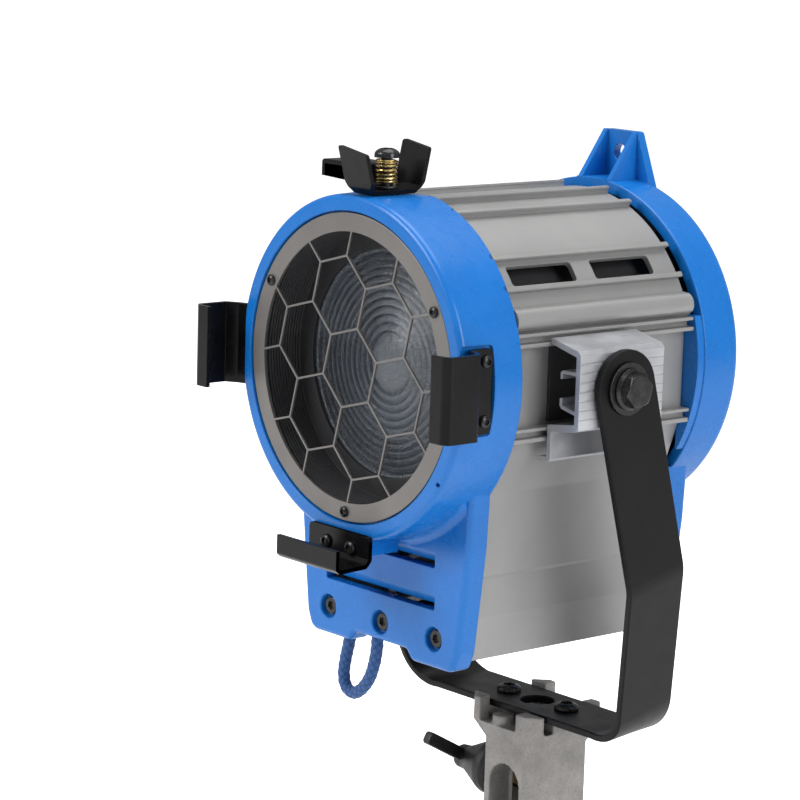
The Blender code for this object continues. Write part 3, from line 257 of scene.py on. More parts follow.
def mixed(tree, factor, first, second):
    """A colour between two, each a colour or another node's output."""
    node = tree.nodes.new("ShaderNodeMix")
    node.data_type = "RGBA"
    tree.links.new(factor, node.inputs[0])
    for socket, colour in ((node.inputs[6], first), (node.inputs[7], second)):
        if isinstance(colour, tuple):
            socket.default_value = (*colour, 1.0)
        else:
            tree.links.new(colour, socket)
    return node.outputs[2]


def bumped(tree, height, depth, before=None):
    node = tree.nodes.new("ShaderNodeBump")
    node.inputs["Strength"].default_value = 1.0
    node.inputs["Distance"].default_value = depth
    tree.links.new(height, node.inputs["Height"])
    if before is not None:
        tree.links.new(before, node.inputs["Normal"])
    return node.outputs["Normal"]


def surface(
    name, colour, shade, roughness, metallic=0.0, patch=40.0, fine=1500.0, grain=(1.0, 1.0, 1.0),
    depth=0.00001, coat=0.0, shine=0.5, edge=0.0003, specks=None, speck_scale=2500.0, speck_from=0.66,
):
    """A finish with patches between two tones, a fine grain, softened edges and a few specks."""
    material, tree, shader = new_material(name)
    shader.inputs["Metallic"].default_value = metallic
    shader.inputs["Specular IOR Level"].default_value = shine
    shader.inputs["Coat Weight"].default_value = coat
    shader.inputs["Coat Roughness"].default_value = 0.1
    coords = tree.nodes.new("ShaderNodeTexCoord")
    patches = noise_node(tree, coords, patch, 4.0)
    lines = noise_node(tree, coords, fine, 3.0, grain)
    tone = mixed(tree, spread(tree, patches, 0.0, 1.0), colour, shade)
    dusty = mixed(tree, spread(tree, lines, 0.0, 0.35, 0.35, 0.8), tone, shade)
    if specks is not None:
        dots = noise_node(tree, coords, speck_scale, 2.0)
        dusty = mixed(tree, spread(tree, dots, 0.0, 0.9, speck_from, speck_from + 0.06), dusty, specks)
    tree.links.new(dusty, shader.inputs["Base Color"])
    worn = noise_node(tree, coords, patch * 3.0, 5.0)
    tree.links.new(spread(tree, worn, roughness[0], roughness[1]), shader.inputs["Roughness"])
    soft = tree.nodes.new("ShaderNodeBevel")
    soft.samples = 4
    soft.inputs["Radius"].default_value = edge
    relief = bumped(tree, lines, depth, soft.outputs["Normal"])
    tree.links.new(relief, shader.inputs["Normal"])
    return material


def speckled_glass():
    """Pressed glass: clear and grey, with a fine stipple and bright flecks painted into its colour as
    painted glints.
    """
    material, tree, shader = new_material("pressed_glass")
    shader.inputs["IOR"].default_value = 1.47
    shader.inputs["Transmission Weight"].default_value = 0.8
    coords = tree.nodes.new("ShaderNodeTexCoord")
    stipple = noise_node(tree, coords, 1800.0, 2.0)
    cloud = noise_node(tree, coords, 60.0, 3.0)
    tone = mixed(tree, spread(tree, cloud, 0.0, 1.0), (0.24, 0.26, 0.29), (0.44, 0.49, 0.56))
    # painted highlight: near-white flecks on the stipple stand in for its glints
    painted_glints = mixed(tree, spread(tree, stipple, 0.0, 1.0, 0.56, 0.64), tone, (0.86, 0.9, 0.95))
    tree.links.new(painted_glints, shader.inputs["Base Color"])
    tree.links.new(spread(tree, stipple, 0.04, 0.16), shader.inputs["Roughness"])
    tree.links.new(bumped(tree, stipple, 0.00025), shader.inputs["Normal"])
    return material


def braid_cloth():
    """Braided cord with fuzz: blue strands darkened towards the grooves between them as painted shade."""
    material, tree, shader = new_material("braid")
    shader.inputs["Sheen Weight"].default_value = 0.25
    coords = tree.nodes.new("ShaderNodeTexCoord")
    painted_groove_shade = tree.nodes.new("ShaderNodeAttribute")
    painted_groove_shade.attribute_name = "painted_groove_shade"
    fuzz = noise_node(tree, coords, 5000.0, 3.0)
    # painted shade: darker where the braid's skin sinks between strands, brighter on the strand tops
    tone = mixed(tree, painted_groove_shade.outputs["Fac"], (0.001, 0.006, 0.028), (0.008, 0.085, 0.3))
    worn = mixed(tree, spread(tree, fuzz, 0.0, 0.5, 0.4, 0.8), tone, (0.02, 0.12, 0.36))
    tree.links.new(worn, shader.inputs["Base Color"])
    tree.links.new(spread(tree, fuzz, 0.55, 0.85), shader.inputs["Roughness"])
    tree.links.new(bumped(tree, fuzz, 0.00008), shader.inputs["Normal"])
    return material


def make_finishes():
    along_y = (1.0, 0.03, 1.0)
    return {
        "blue": surface(
            "blue_gloss_enamel", (0.006, 0.15, 0.51), (0.005, 0.136, 0.47), (0.22, 0.34),
            coat=0.1, shine=0.35, patch=55.0, fine=420.0, depth=0.000012, edge=0.0006,
            specks=(0.004, 0.03, 0.12), speck_from=0.74,
        ),
        "silver": surface(
            "satin_extrusion", (0.33, 0.328, 0.326), (0.29, 0.288, 0.287), (0.42, 0.48), 0.45,
            patch=28.0, fine=5200.0, grain=along_y, depth=0.000006,
        ),
        "bright": surface(
            "bright_extrusion", (0.56, 0.568, 0.6), (0.4, 0.408, 0.43), (0.28, 0.44), 0.65,
            patch=60.0, fine=4200.0, grain=along_y, depth=0.000008,
        ),
        "ring": surface(
            "satin_ring_plate", (0.215, 0.203, 0.195), (0.175, 0.166, 0.16), (0.38, 0.52), 0.55,
            patch=45.0, fine=3600.0, depth=0.000006, edge=0.0002,
            specks=(0.42, 0.38, 0.35), speck_from=0.7,
        ),
        "black": surface(
            "black_satin_enamel", (0.003, 0.0028, 0.0034), (0.0052, 0.0049, 0.0058), (0.3, 0.4),
            patch=45.0, fine=1300.0, depth=0.00001, shine=0.18, edge=0.0004,
            specks=(0.06, 0.058, 0.06), speck_from=0.79,
        ),
        "gloss": surface(
            "black_gloss_enamel", (0.0035, 0.0034, 0.004), (0.0065, 0.0062, 0.0072), (0.16, 0.3),
            patch=70.0, fine=900.0, depth=0.000008, shine=0.2, edge=0.0004,
        ),
        "latch": surface(
            "brown_black_steel", (0.003, 0.0028, 0.0032), (0.006, 0.0054, 0.0058), (0.3, 0.44), 0.0,
            patch=90.0, fine=2200.0, depth=0.000012, shine=0.2, edge=0.0004,
            specks=(0.05, 0.045, 0.043), speck_from=0.78,
        ),
        "screw": surface(
            "blackened_steel", (0.018, 0.018, 0.019), (0.042, 0.042, 0.044), (0.16, 0.3), 0.55,
            patch=300.0, fine=4000.0, depth=0.000006, edge=0.00025,
        ),
        "steel": surface(
            "zinc_steel", (0.52, 0.52, 0.53), (0.4, 0.4, 0.41), (0.22, 0.38), 0.95,
            patch=80.0, fine=4500.0, grain=along_y, depth=0.000006,
        ),
        "brass": surface(
            "spring_brass", (0.62, 0.47, 0.2), (0.42, 0.3, 0.11), (0.16, 0.3), 0.95,
            patch=500.0, fine=5000.0, depth=0.000005, edge=0.0001,
        ),
        "cast": surface(
            "rough_casting", (0.34, 0.325, 0.31), (0.25, 0.24, 0.23), (0.48, 0.68), 0.35,
            patch=160.0, fine=1600.0, depth=0.00011, edge=0.0006, specks=(0.17, 0.165, 0.16),
            speck_scale=1900.0, speck_from=0.6,
        ),
        "ceramic": surface(
            "steatite", (0.78, 0.76, 0.7), (0.68, 0.65, 0.58), (0.36, 0.55),
            patch=200.0, fine=2500.0, depth=0.000015,
        ),
        "mirror": surface(
            "spun_mirror", (0.86, 0.86, 0.87), (0.78, 0.78, 0.79), (0.05, 0.14), 1.0,
            patch=120.0, fine=900.0, depth=0.000004,
        ),
        "plastic": surface(
            "moulded_black", (0.006, 0.006, 0.007), (0.011, 0.011, 0.0125), (0.38, 0.56),
            patch=120.0, fine=5200.0, depth=0.00002, edge=0.0004,
        ),
        "inside": surface(
            "matt_black_inside", (0.014, 0.0142, 0.016), (0.02, 0.0205, 0.023), (0.5, 0.72),
            patch=60.0, fine=2600.0, depth=0.000015, edge=0.0002,
        ),
        "glass": speckled_glass(),
        "braid": braid_cloth(),
    }


# ================================================================ shapes
def to_space(axis, a, b, along):
    """The point at a, b across an axis and at a distance along it."""
    if axis == "X":
        return Vector((along, a, b))
    if axis == "Y":
        return Vector((a, along, b))
    return Vector((a, b, along))


def rectangle(a, b):
    """Corners of a rectangle from its lowest and highest value each way."""
    return ((a[0], b[0]), (a[1], b[0]), (a[1], b[1]), (a[0], b[1]))


def arc(centre, radius, start, end, steps):
    """Points on a circle, from one angle to another, in degrees."""
    points = []
    for step in range(steps + 1):
        angle = math.radians(start + (end - start) * step / steps)
        points.append((centre[0] + radius * math.cos(angle), centre[1] + radius * math.sin(angle)))
    return points


def circle(centre, radius, segments):
    return arc(centre, radius, 0.0, 360.0 * (1 - 1 / segments), segments - 1)


def rounded(points, radius, closed=True, steps=5):
    """A polyline with its corners rounded; radius is one number or one per corner."""
    out = []
    count = len(points)
    for index, place in enumerate(points):
        size = radius[index] if isinstance(radius, (list, tuple)) else radius
        if size == 0.0 or (not closed and index in (0, count - 1)):
            out.append(tuple(place))
            continue
        corner = Vector(place)
        to_before = Vector(points[index - 1]) - corner
        to_after = Vector(points[(index + 1) % count]) - corner
        half = to_before.angle(to_after) / 2
        if half > math.radians(89.0):
            out.append(tuple(place))
            continue
        reach = min(size / math.tan(half), to_before.length * 0.49, to_after.length * 0.49)
        start = corner + to_before.normalized() * reach
        end = corner + to_after.normalized() * reach
        middle = to_before.normalized() + to_after.normalized()
        centre = corner + middle.normalized() * (reach / math.cos(half))
        sweep = (start - centre).angle(end - centre)
        for step in range(steps + 1):
            share = step / steps
            near, far = math.sin((1 - share) * sweep), math.sin(share * sweep)
            out.append(tuple(centre + ((start - centre) * near + (end - centre) * far) / math.sin(sweep)))
    return out


def prism(outline, axis, low, high):
    """A closed outline extruded along an axis."""
    bm = bmesh.new()
    rings = [[bm.verts.new(to_space(axis, a, b, along)) for a, b in outline] for along in (low, high)]
    bm.faces.new(rings[0])
    bm.faces.new(rings[1])
    for index in range(len(outline)):
        after = (index + 1) % len(outline)
        bm.faces.new((rings[0][index], rings[0][after], rings[1][after], rings[1][index]))
    bmesh.ops.recalc_face_normals(bm, faces=bm.faces)
    return bm


def block(x, y, z):
    """A box from its lowest and highest x, y and z."""
    return prism(rectangle(x, y), "Z", *z)


def turned(profile, axis, centre=AXIS, segments=96):
    """A closed profile of (radius, height) points turned about an axis."""
    bm = bmesh.new()
    rings = []
    for radius, height in profile:
        if radius < 1e-7:
            rings.append([bm.verts.new(to_space(axis, centre[0], centre[1], height))])
            continue
        around = circle(centre, radius, segments)
        rings.append([bm.verts.new(to_space(axis, a, b, height)) for a, b in around])
    for index, ring in enumerate(rings):
        other = rings[(index + 1) % len(rings)]
        if len(ring) == 1 and len(other) == 1:
            continue
        for step in range(segments):
            after = (step + 1) % segments
            if len(ring) == 1:
                bm.faces.new((ring[0], other[after], other[step]))
            elif len(other) == 1:
                bm.faces.new((ring[step], ring[after], other[0]))
            else:
                bm.faces.new((ring[step], ring[after], other[after], other[step]))
    bmesh.ops.recalc_face_normals(bm, faces=bm.faces)
    return bm


def rod(axis, centre, radius, low, high, segments=32):
    """A plain round bar, for cutting holes."""
    return prism(circle(centre, radius, segments), axis, low, high)


def bore(axis, centre, radius, low, high, lip, segments=32):
    """A round cutter whose low end flares into a chamfer lip wide."""
    sign = 1.0 if high > low else -1.0
    profile = [(0.0, low - sign * lip), (radius + 2 * lip, low - sign * lip), (radius, low + sign * lip)]
    return turned([*profile, (radius, high), (0.0, high)], axis, centre, segments)


def flat_ring(radii, heights, soft, axis, centre, segments):
    """A flat ring with rounded edges."""
    return turned(rounded(rectangle(radii, heights), soft, steps=3), axis, centre, segments)


def folded(path, thickness):
    """Outline of a folded strip: the path is one face, and the other lies to its left."""
    points = [Vector(point) for point in path]
    left = []
    for index, point in enumerate(points):
        normals = []
        if index > 0:
            run = (point - points[index - 1]).normalized()
            normals.append(Vector((-run.y, run.x)))
        if index < len(points) - 1:
            run = (points[index + 1] - point).normalized()
            normals.append(Vector((-run.y, run.x)))
        mitre = sum(normals, Vector((0.0, 0.0))).normalized()
        left.append(point + mitre * thickness / mitre.dot(normals[0]))
    return [tuple(point) for point in points] + [tuple(point) for point in reversed(left)]


def skinned(bm, rings):
    """Faces from each ring of points to the next, and over both ends."""
    for ring, other in zip(rings, rings[1:]):
        for side in range(len(ring)):
            after = (side + 1) % len(ring)
            bm.faces.new((ring[side], ring[after], other[after], other[side]))
    bm.faces.new(rings[0])
    bm.faces.new(rings[-1])
    bmesh.ops.recalc_face_normals(bm, faces=bm.faces)
    return bm


def swept(path, radius, sides):
    """A round tube along a path."""
    bm = bmesh.new()
    rings = []
    across = None
    for index, point in enumerate(path):
        before = path[max(index - 1, 0)]
        after = path[min(index + 1, len(path) - 1)]
        along = (after - before).normalized()
        if across is None:
            across = along.orthogonal().normalized()
        across = (across - along * across.dot(along)).normalized()
        over = along.cross(across)
        ring = []
        for side in range(sides):
            angle = 2 * math.pi * side / sides
            ring.append(bm.verts.new(point + radius * (math.cos(angle) * across + math.sin(angle) * over)))
        rings.append(ring)
    return skinned(bm, rings)


def mirrored(bm):
    """The same body on the other side of the head."""
    bmesh.ops.scale(bm, verts=bm.verts, vec=(-1.0, 1.0, 1.0))
    bmesh.ops.reverse_faces(bm, faces=bm.faces)
    return bm


def as_object(name, bm):
    """An object of the scene that takes over a body."""
    mesh = bpy.data.meshes.new(name)
    bm.to_mesh(mesh)
    bm.free()
    thing = bpy.data.objects.new(name, mesh)
    bpy.context.scene.collection.objects.link(thing)
    return thing


def applied(thing):
    """The body an object's modifiers make of it, in place of the object."""
    evaluated = thing.evaluated_get(bpy.context.evaluated_depsgraph_get())
    bm = bmesh.new()
    bm.from_mesh(evaluated.to_mesh())
    bpy.data.objects.remove(thing)
    return bm


def combined(base, tools, operation):
    """A body after a Boolean with each tool in turn."""
    for tool in tools:
        bmesh.ops.triangulate(base, faces=base.faces)
        bmesh.ops.triangulate(tool, faces=tool.faces)
        body = as_object("body", base)
        other = as_object("tool", tool)
        modifier = body.modifiers.new("combine", "BOOLEAN")
        modifier.operation = operation
        modifier.solver = "EXACT"
        modifier.object = other
        base = applied(body)
        bpy.data.objects.remove(other)
        bmesh.ops.remove_doubles(base, verts=base.verts, dist=1e-7)
        bmesh.ops.dissolve_limit(base, angle_limit=math.radians(0.1), verts=base.verts, edges=base.edges)
    return base


def cut(base, *tools):
    return combined(base, tools, "DIFFERENCE")


def joined(base, *tools):
    return combined(base, tools, "UNION")


def shared(base, *tools):
    return combined(base, tools, "INTERSECT")


def gathered(*bodies):
    """Separate bodies in one mesh."""
    bm = bmesh.new()
    for body in bodies:
        mesh = bpy.data.meshes.new("part")
        body.to_mesh(mesh)
        body.free()
        bm.from_mesh(mesh)
        bpy.data.meshes.remove(mesh)
    return bm


def softened(bm, width, segments=2):
    """Rounds every edge where the surface turns by more than 28 degrees."""
    sharp = math.radians(28.0)
    edges = [edge for edge in bm.edges if len(edge.link_faces) == 2 and edge.calc_face_angle(0.0) > sharp]
    bmesh.ops.bevel(
        bm, geom=edges, offset=width, offset_type="OFFSET", segments=segments, profile=0.5, affect="EDGES",
        clamp_overlap=True, miter_outer="ARC",
    )
    return bm


def cad_shape(node):
    """A copy of a CAD node's mesh in head coordinates, with its flat faces whole again."""
    bm = bmesh.new()
    bm.from_mesh(NODES[node].data)
    bmesh.ops.translate(bm, verts=bm.verts, vec=-HEAD)
    bmesh.ops.remove_doubles(bm, verts=bm.verts, dist=2e-6)
    bmesh.ops.dissolve_limit(bm, angle_limit=math.radians(0.3), verts=bm.verts, edges=bm.edges)
    return bm


# ================================================================ placing
def add_piece(name, bm, finish, slot, *nodes, body="head", frame_at=HEAD, smooth=32.0):
    """A visible piece that stands for CAD nodes and rides on their body."""
    bmesh.ops.translate(bm, verts=bm.verts, vec=frame_at)
    piece = as_object(name, bm)
    piece.data.shade_smooth()
    piece.data.set_sharp_from_angle(angle=math.radians(smooth))
    piece.data.materials.append(FINISHES[finish])
    normals = piece.modifiers.new("even_shading", "WEIGHTED_NORMAL")
    normals.keep_sharp = True
    normals.weight = 60
    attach(piece, body)
    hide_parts(*nodes)
    return piece


def on_side(shape, sign):
    """A shape that is drawn on the right, on either side."""
    return shape() if sign > 0.0 else mirrored(shape())


# ================================================================ screws
def hexagon(axis, centre, across_flats, low, high, turn=0.0):
    corner = across_flats / math.sqrt(3.0)
    return prism(arc(centre, corner, turn, turn + 300.0, 5), axis, low, high)


def socket_screw(axis, centre, seat, head_r, head_h, shank_r, shank_end, flat=False, turn=10.0):
    """Domed or flat-topped screw with a hexagonal socket in its head."""
    out = 1.0 if seat > shank_end else -1.0
    top = seat + out * head_h
    profile = [(0.0, shank_end), (shank_r, shank_end), (shank_r, seat), (head_r, seat)]
    if flat:
        profile += [(head_r, top - out * head_h * 0.12), (head_r * 0.93, top)]
    else:
        for step in range(1, 10):
            angle = math.pi / 2 * step / 10
            profile.append((head_r * math.cos(angle), seat + out * head_h * (0.25 + 0.75 * math.sin(angle))))
    profile.append((0.0, top))
    low, high = sorted((top + out * 0.001, seat + out * head_h * 0.3))
    recess = hexagon(axis, centre, head_r * 0.95, low, high, turn)
    return cut(turned(profile, axis, centre, 40), recess)


# ================================================================ castings
def box_shape(inset):
    """The vent box's outline with round corners, drawn in by a wall where inset isn't zero."""
    points = []
    radii = []
    for index, (x, z, radius) in enumerate(BOX_OUTLINE):
        lift = inset if z < -0.096 else 0.0
        points.append((x - (inset if index < 6 else 0.0), z + lift))
        radii.append(radius)
    points += [(-x, z) for x, z in reversed(points)]
    radii += list(reversed(radii))
    return rounded(points, radii, steps=4)


def drawn_in(outline, distance):
    """A clockwise outline moved inwards all round."""
    moved = []
    for index, place in enumerate(outline):
        point = Vector(place)
        before = (point - Vector(outline[index - 1])).normalized()
        after = (Vector(outline[(index + 1) % len(outline)]) - point).normalized()
        inward = Vector((before.y + after.y, -before.x - after.x)).normalized()
        moved.append(tuple(point + inward * distance / inward.dot(Vector((before.y, -before.x)))))
    return moved


def lofted(sections):
    """A body through outlines of equal point count, each at its own y."""
    bm = bmesh.new()
    rings = [[bm.verts.new((x, y, z)) for x, z in outline] for outline, y in sections]
    return skinned(bm, rings)


def vent_box(back, face):
    """The vent box's solid, with its outer edges rounded at its face."""
    soft = 0.0022
    sign = 1.0 if face > back else -1.0
    outline = box_shape(0.0)
    sections = [(outline, back)]
    for step in range(7):
        angle = math.pi / 2 * step / 6
        inset = soft * (1 - math.cos(angle))
        sections.append((drawn_in(outline, inset), face - sign * soft * (1 - math.sin(angle))))
    return lofted(sections)


def corner_fillet(face, radius, drum_r, sign):
    """Concave blend between the drum's side and the vent box's face."""
    hollow = arc((drum_r + radius, face - sign * radius), radius, 90.0 * sign, 180.0 * sign, 8)
    profile = [(drum_r - 0.0015, face + sign * 0.0006), (drum_r + radius, face + sign * 0.0006), *hollow]
    profile.append((drum_r - 0.0015, face - sign * radius))
    ring = turned(profile, "Y", segments=128)
    low, high = sorted((face - sign * (radius + 0.001), face + sign * 0.001))
    return shared(ring, prism(box_shape(0.0024), "Y", low, high))


def slot_shape(low, high):
    """A louvre's outline from its lower to its upper corner, with round ends."""
    return rounded(rectangle((low[0], high[0]), (low[1], high[1])), 0.0009, steps=4)


def front_casting():
    front, back = DRUM_Y
    corners = ((0.0, front), (DRUM_R[0], front), (DRUM_R[1], back), (0.0, back))
    profile = rounded(corners, (0.0, 0.0021, 0.0004, 0.0), steps=8)
    drum = turned(profile, "Y", segments=144)
    lug = block((-0.01, 0.01), (0.0, BOX_FACE_Y + 0.001), (-0.064, -0.056))
    fillet = corner_fillet(BOX_FACE_Y, 0.0032, 0.0599, 1.0)
    places = [(x, FOOT_SCREW_Z) for _, x in FOOT_SCREWS]
    bores = [bore("Y", place, 0.0042, BOX_FACE_Y, FOOT_SEAT_Y, 0.0004, 36) for place in places]
    pilots = [rod("Y", place, 0.0017, 0.019, 0.022, 18) for place in places]
    hollow = prism(box_shape(BOX_WALL), "Y", BOX_FACE_Y + 0.004, 0.027)
    foot = cut(vent_box(back, BOX_FACE_Y), hollow, gathered(*bores), gathered(*pilots))
    body = joined(drum, foot, lug, fillet)

    cavity = rod("Y", AXIS, DRUM_CAVITY_R, 0.0042, 0.026, 96)
    cavity = cut(
        cavity,
        block((-0.061, -0.054), (0.004, 0.015), (-0.017, 0.017)),
        block((0.054, 0.061), (0.004, 0.015), (-0.017, 0.017)),
        block((-0.0125, 0.0125), (0.004, 0.027), (0.054, 0.06)),
    )
    seat_r = RING_R + 0.0006
    recess = ((0.0, -0.002), (0.0546, -0.002), (seat_r, -0.0002), (seat_r, 0.0018), (0.0, 0.0018))
    pockets = []
    holes = []
    for side in (-1, 1):
        pocket = rounded(rectangle((-0.0015, 0.013), (-0.0152, 0.0152)), 0.0012)
        pockets.append(prism(pocket, "X", *sorted((side * 0.0568, side * 0.065))))
        low, high = sorted((side * 0.05, side * 0.058))
        holes += [rod("X", place, 0.0012, low, high, 16) for _, place in reversed(EAR_SCREWS)]
    for angle in RING_SCREW_ANGLES:
        place = arc(AXIS, RING_SCREW_R, angle, angle, 1)[0]
        holes.append(rod("Y", place, 0.0012, 0.0, 0.006, 16))
    holes += [rod("Y", place, 0.0014, -0.001, 0.008, 16) for _, place in BRACKET_SCREWS]
    holes.append(rod("Z", (0.0, LATCH_Y), LATCH_HOLE_R, 0.05, 0.061, 24))
    holes.append(rod("Y", (0.048, -0.032), 0.0008, -0.002, 0.003, 16))
    louvres = []
    for low, high in (((-0.027, -0.0665), (0.0282, -0.0612)), ((-0.0296, -0.0812), (0.0287, -0.0762))):
        blade = (
            (0.015, high[1] + 0.001),
            (BOX_FACE_Y + 0.0004, high[1] + 0.001),
            (0.0196, low[1] + 0.0019),
            (0.026, low[1] + 0.0019),
            (0.026, low[1] - 0.001),
            (0.015, low[1] - 0.001),
        )
        opening = prism(slot_shape(low, high), "Y", 0.016, 0.025)
        louvres.append(shared(opening, prism(blade, "X", -0.04, 0.04)))
    rope_holes = [rod("Z", (x, ROPE_Y), ROPE_R + 0.0005, -0.103, -0.093, 30) for x in ROPE_HOLES_X]
    notches = []
    for angle in (*TOP_RIBS, *SIDE_RIBS, *[180.0 - rib for rib in SIDE_RIBS]):
        notch = block((-0.0008, 0.0008), (0.0236, 0.026), (0.0594, 0.062))
        spin = Matrix.Rotation(math.radians(90.0 - angle), 3, "Y")
        bmesh.ops.rotate(notch, verts=notch.verts, cent=(0, 0, 0), matrix=spin)
        notches.append(notch)
    return cut(
        body,
        gathered(*louvres),
        cavity,
        prism(box_shape(BOX_WALL), "Y", BOX_FACE_Y + 0.004, 0.026),
        block((-0.02, 0.02), (-0.002, 0.027), (LATCH_SEAT_Z, 0.07)),
        rod("Y", AXIS, 0.0484, -0.003, 0.005, 96),
        turned(recess, "Y", segments=144),
        gathered(*pockets),
        gathered(*holes, *rope_holes),
        gathered(*notches),
    )


def rear_casting():
    drum_r = DRUM_R[1]
    corners = [(0.0, REAR_RIM_Y), (drum_r, REAR_RIM_Y), (drum_r, REAR_FACE_Y - 0.003)]
    corners += [(0.0565, REAR_FACE_Y), (0.0, REAR_FACE_Y)]
    drum = turned(rounded(corners, (0.0, 0.0004, 0.004, 0.005, 0.0), steps=7), "Y", segments=144)
    web_face = ((-0.0166, 0.056), (0.0166, 0.056), (0.0084, TOWER_TOP_Z), (-0.0084, TOWER_TOP_Z))
    web = prism(rounded(web_face, (0.0, 0.0, 0.0014, 0.0014)), "Y", 0.1248, 0.1282)
    gusset_side = (
        (REAR_RIM_Y, 0.055), (0.126, 0.055), (0.126, TOWER_TOP_Z), (0.1244, TOWER_TOP_Z),
        (REAR_RIM_Y, 0.0583),
    )
    gussets = [prism(gusset_side, "X", low, low + 0.002) for low in (-0.0084, 0.0064)]
    apron = block((-0.008, 0.008), (REAR_RIM_Y, 0.126), (0.056, 0.06))
    start, end = REAR_BOX_Y
    body = joined(drum, vent_box(start, end), web, *gussets, apron)
    bosses = []
    for x, z in REAR_SCREWS:
        face = REAR_FACE_Y if z > 0.0 else end
        profile = ((0.0, face - 0.002), (0.005, face - 0.002), (0.0044, face), (0.0, face))
        bosses.append(turned(profile, "Y", (x, z), 32))
    body = joined(body, *bosses)

    tools = [
        rod("Y", AXIS, 0.0561, REAR_RIM_Y - 0.001, REAR_FACE_Y - BOX_WALL, 96),
        prism(box_shape(BOX_WALL), "Y", start - 0.001, end - BOX_WALL),
        rod("Y", AXIS, RIB_TIP_R + 0.0003, start - 0.001, REAR_RIM_Y - 0.0001, 96),
        rod("Y", (0.0, 0.0688), 0.003, 0.12, 0.132, 40),
    ]
    for row in range(5):
        z = 0.03 - 0.013 * row
        half = math.sqrt(0.048**2 - z * z) - 0.004
        tools.append(prism(slot_shape((-half, z - 0.0022), (half, z + 0.0022)), "Y", 0.126, 0.132))
    tools.append(rod("Y", SPINDLE, 0.0033, 0.115, 0.122, 24))
    tools.append(rod("Y", GLAND, 0.0043, 0.115, 0.122, 24))
    for x, z in REAR_SCREWS:
        face = REAR_FACE_Y if z > 0.0 else end
        tools.append(rod("Y", (x, z), 0.0017, face - 0.004, face + 0.001, 16))
    body = cut(body, *tools)
    cheek = arc(AXIS, 0.0597, -31.0, 17.0, 16) + [(0.0505, 0.017), (0.0505, -0.03)]
    cheeks = [prism(cheek, "Y", start, REAR_RIM_Y + 0.001) for _ in SIDES]
    return joined(body, cheeks[0], mirrored(cheeks[1]))


# ================================================================ extruded shells
def ribbed_arc(start, end, ribs):
    """Outer outline of a shell from one angle to another, with a lipped rib at each angle given."""
    stops = sorted([*ribs, start, end], reverse=start > end)
    sign = 1.0 if end > start else -1.0
    outline = []
    for here, there in zip(stops, stops[1:]):
        first = here + (sign * RIB_FLANK if here in ribs else 0.0)
        last = there - (sign * RIB_FLANK if there in ribs else 0.0)
        for drop, near, far in RIB_LIP if here in ribs else ():
            outline += arc(AXIS, RIB_TIP_R - drop, here + sign * near, here + sign * far, 1)
        outline += arc(AXIS, SHELL_R, first, last, max(1, round(abs(last - first) / 1.5)))
    return outline


def top_shell():
    outline = ribbed_arc(46.0, 134.0, TOP_RIBS)
    outline += arc(AXIS, SHELL_INNER_R, 134.0, 46.0, 58)
    return prism(outline, "Y", *SHELL_Y)


def side_shell():
    """Right-hand shell: ribs, windows, rolled edge over a screw channel, side panel and creased skirt."""
    outline = ribbed_arc(45.6, 26.5, SIDE_RIBS)
    outline += arc((0.0527, 0.0213), 0.0042, 68.0, -30.0, 20)
    fins = (
        (0.054, 0.0172), (0.0569, 0.0172), (0.0569, 0.016), (0.054, 0.016), (0.054, 0.0138),
        (0.0573, 0.0138), (0.0573, 0.0124), (SIDE_X, 0.0124), (SIDE_X, -0.015), (0.0568, -0.015),
        (0.0568, -0.0162), (0.054, -0.0162), (0.054, -0.0184), (0.0564, -0.0184), (0.0564, -0.02),
        (0.052, -0.02), (0.0452, -0.039), (0.0418, -0.068), (0.0411, -0.0692), (0.0411, -0.0826),
        (0.0388, -0.098), (0.0368, -0.098), (0.0384, -0.0832), (0.0396, -0.068), (0.043, -0.039),
        (0.05, -0.019), (0.0505, 0.0), (0.0505, 0.017),
    )
    small = 0.0003
    radii = [small] * 7 + [0.0, 0.0] + [small] * 6 + [0.0012, 0.0045, 0.0005, 0.0005, 0.0006, small, small]
    radii += [0.008, 0.008, 0.0045, 0.002, 0.0, 0.0]
    outline += rounded(fins, radii, closed=False, steps=5)
    outline += arc(AXIS, SHELL_INNER_R, 24.0, 45.6, 14)
    body = prism(outline, "Y", *SHELL_Y)
    windows = []
    for low, high in WINDOWS_Y:
        middle = math.radians(sum(WINDOW_ANGLES) / 2)
        half = 0.057 * math.radians(WINDOW_ANGLES[1] - WINDOW_ANGLES[0]) / 2
        pane = prism(rounded(rectangle((-half, half), (low, high)), 0.0012, steps=4), "Z", 0.05, 0.062)
        spin = Matrix.Rotation(math.pi / 2 - middle, 3, "Y")
        bmesh.ops.rotate(pane, verts=pane.verts, cent=(0, 0, 0), matrix=spin)
        windows.append(pane)
    channel = rod("Y", (0.0551, 0.015), 0.0012, SHELL_Y[1] - 0.006, SHELL_Y[1] + 0.001, 20)
    return cut(body, *windows, channel)


def bottom_pan():
    outline = rounded(
        (
            (-0.0364, -0.098), (0.0364, -0.098), (0.0367, -0.095), (0.0347, -0.095), (0.0345, -0.0962),
            (-0.0345, -0.0962), (-0.0347, -0.095), (-0.0367, -0.095),
        ),
        0.0004,
    )
    slots = []
    for row in range(4):
        y = 0.04 + 0.018 * row
        shape = rounded(rectangle((-0.022, 0.022), (y, y + 0.004)), 0.0019)
        slots.append(prism(shape, "Z", -0.1, -0.094))
    return cut(prism(outline, "Y", *SHELL_Y), *slots)


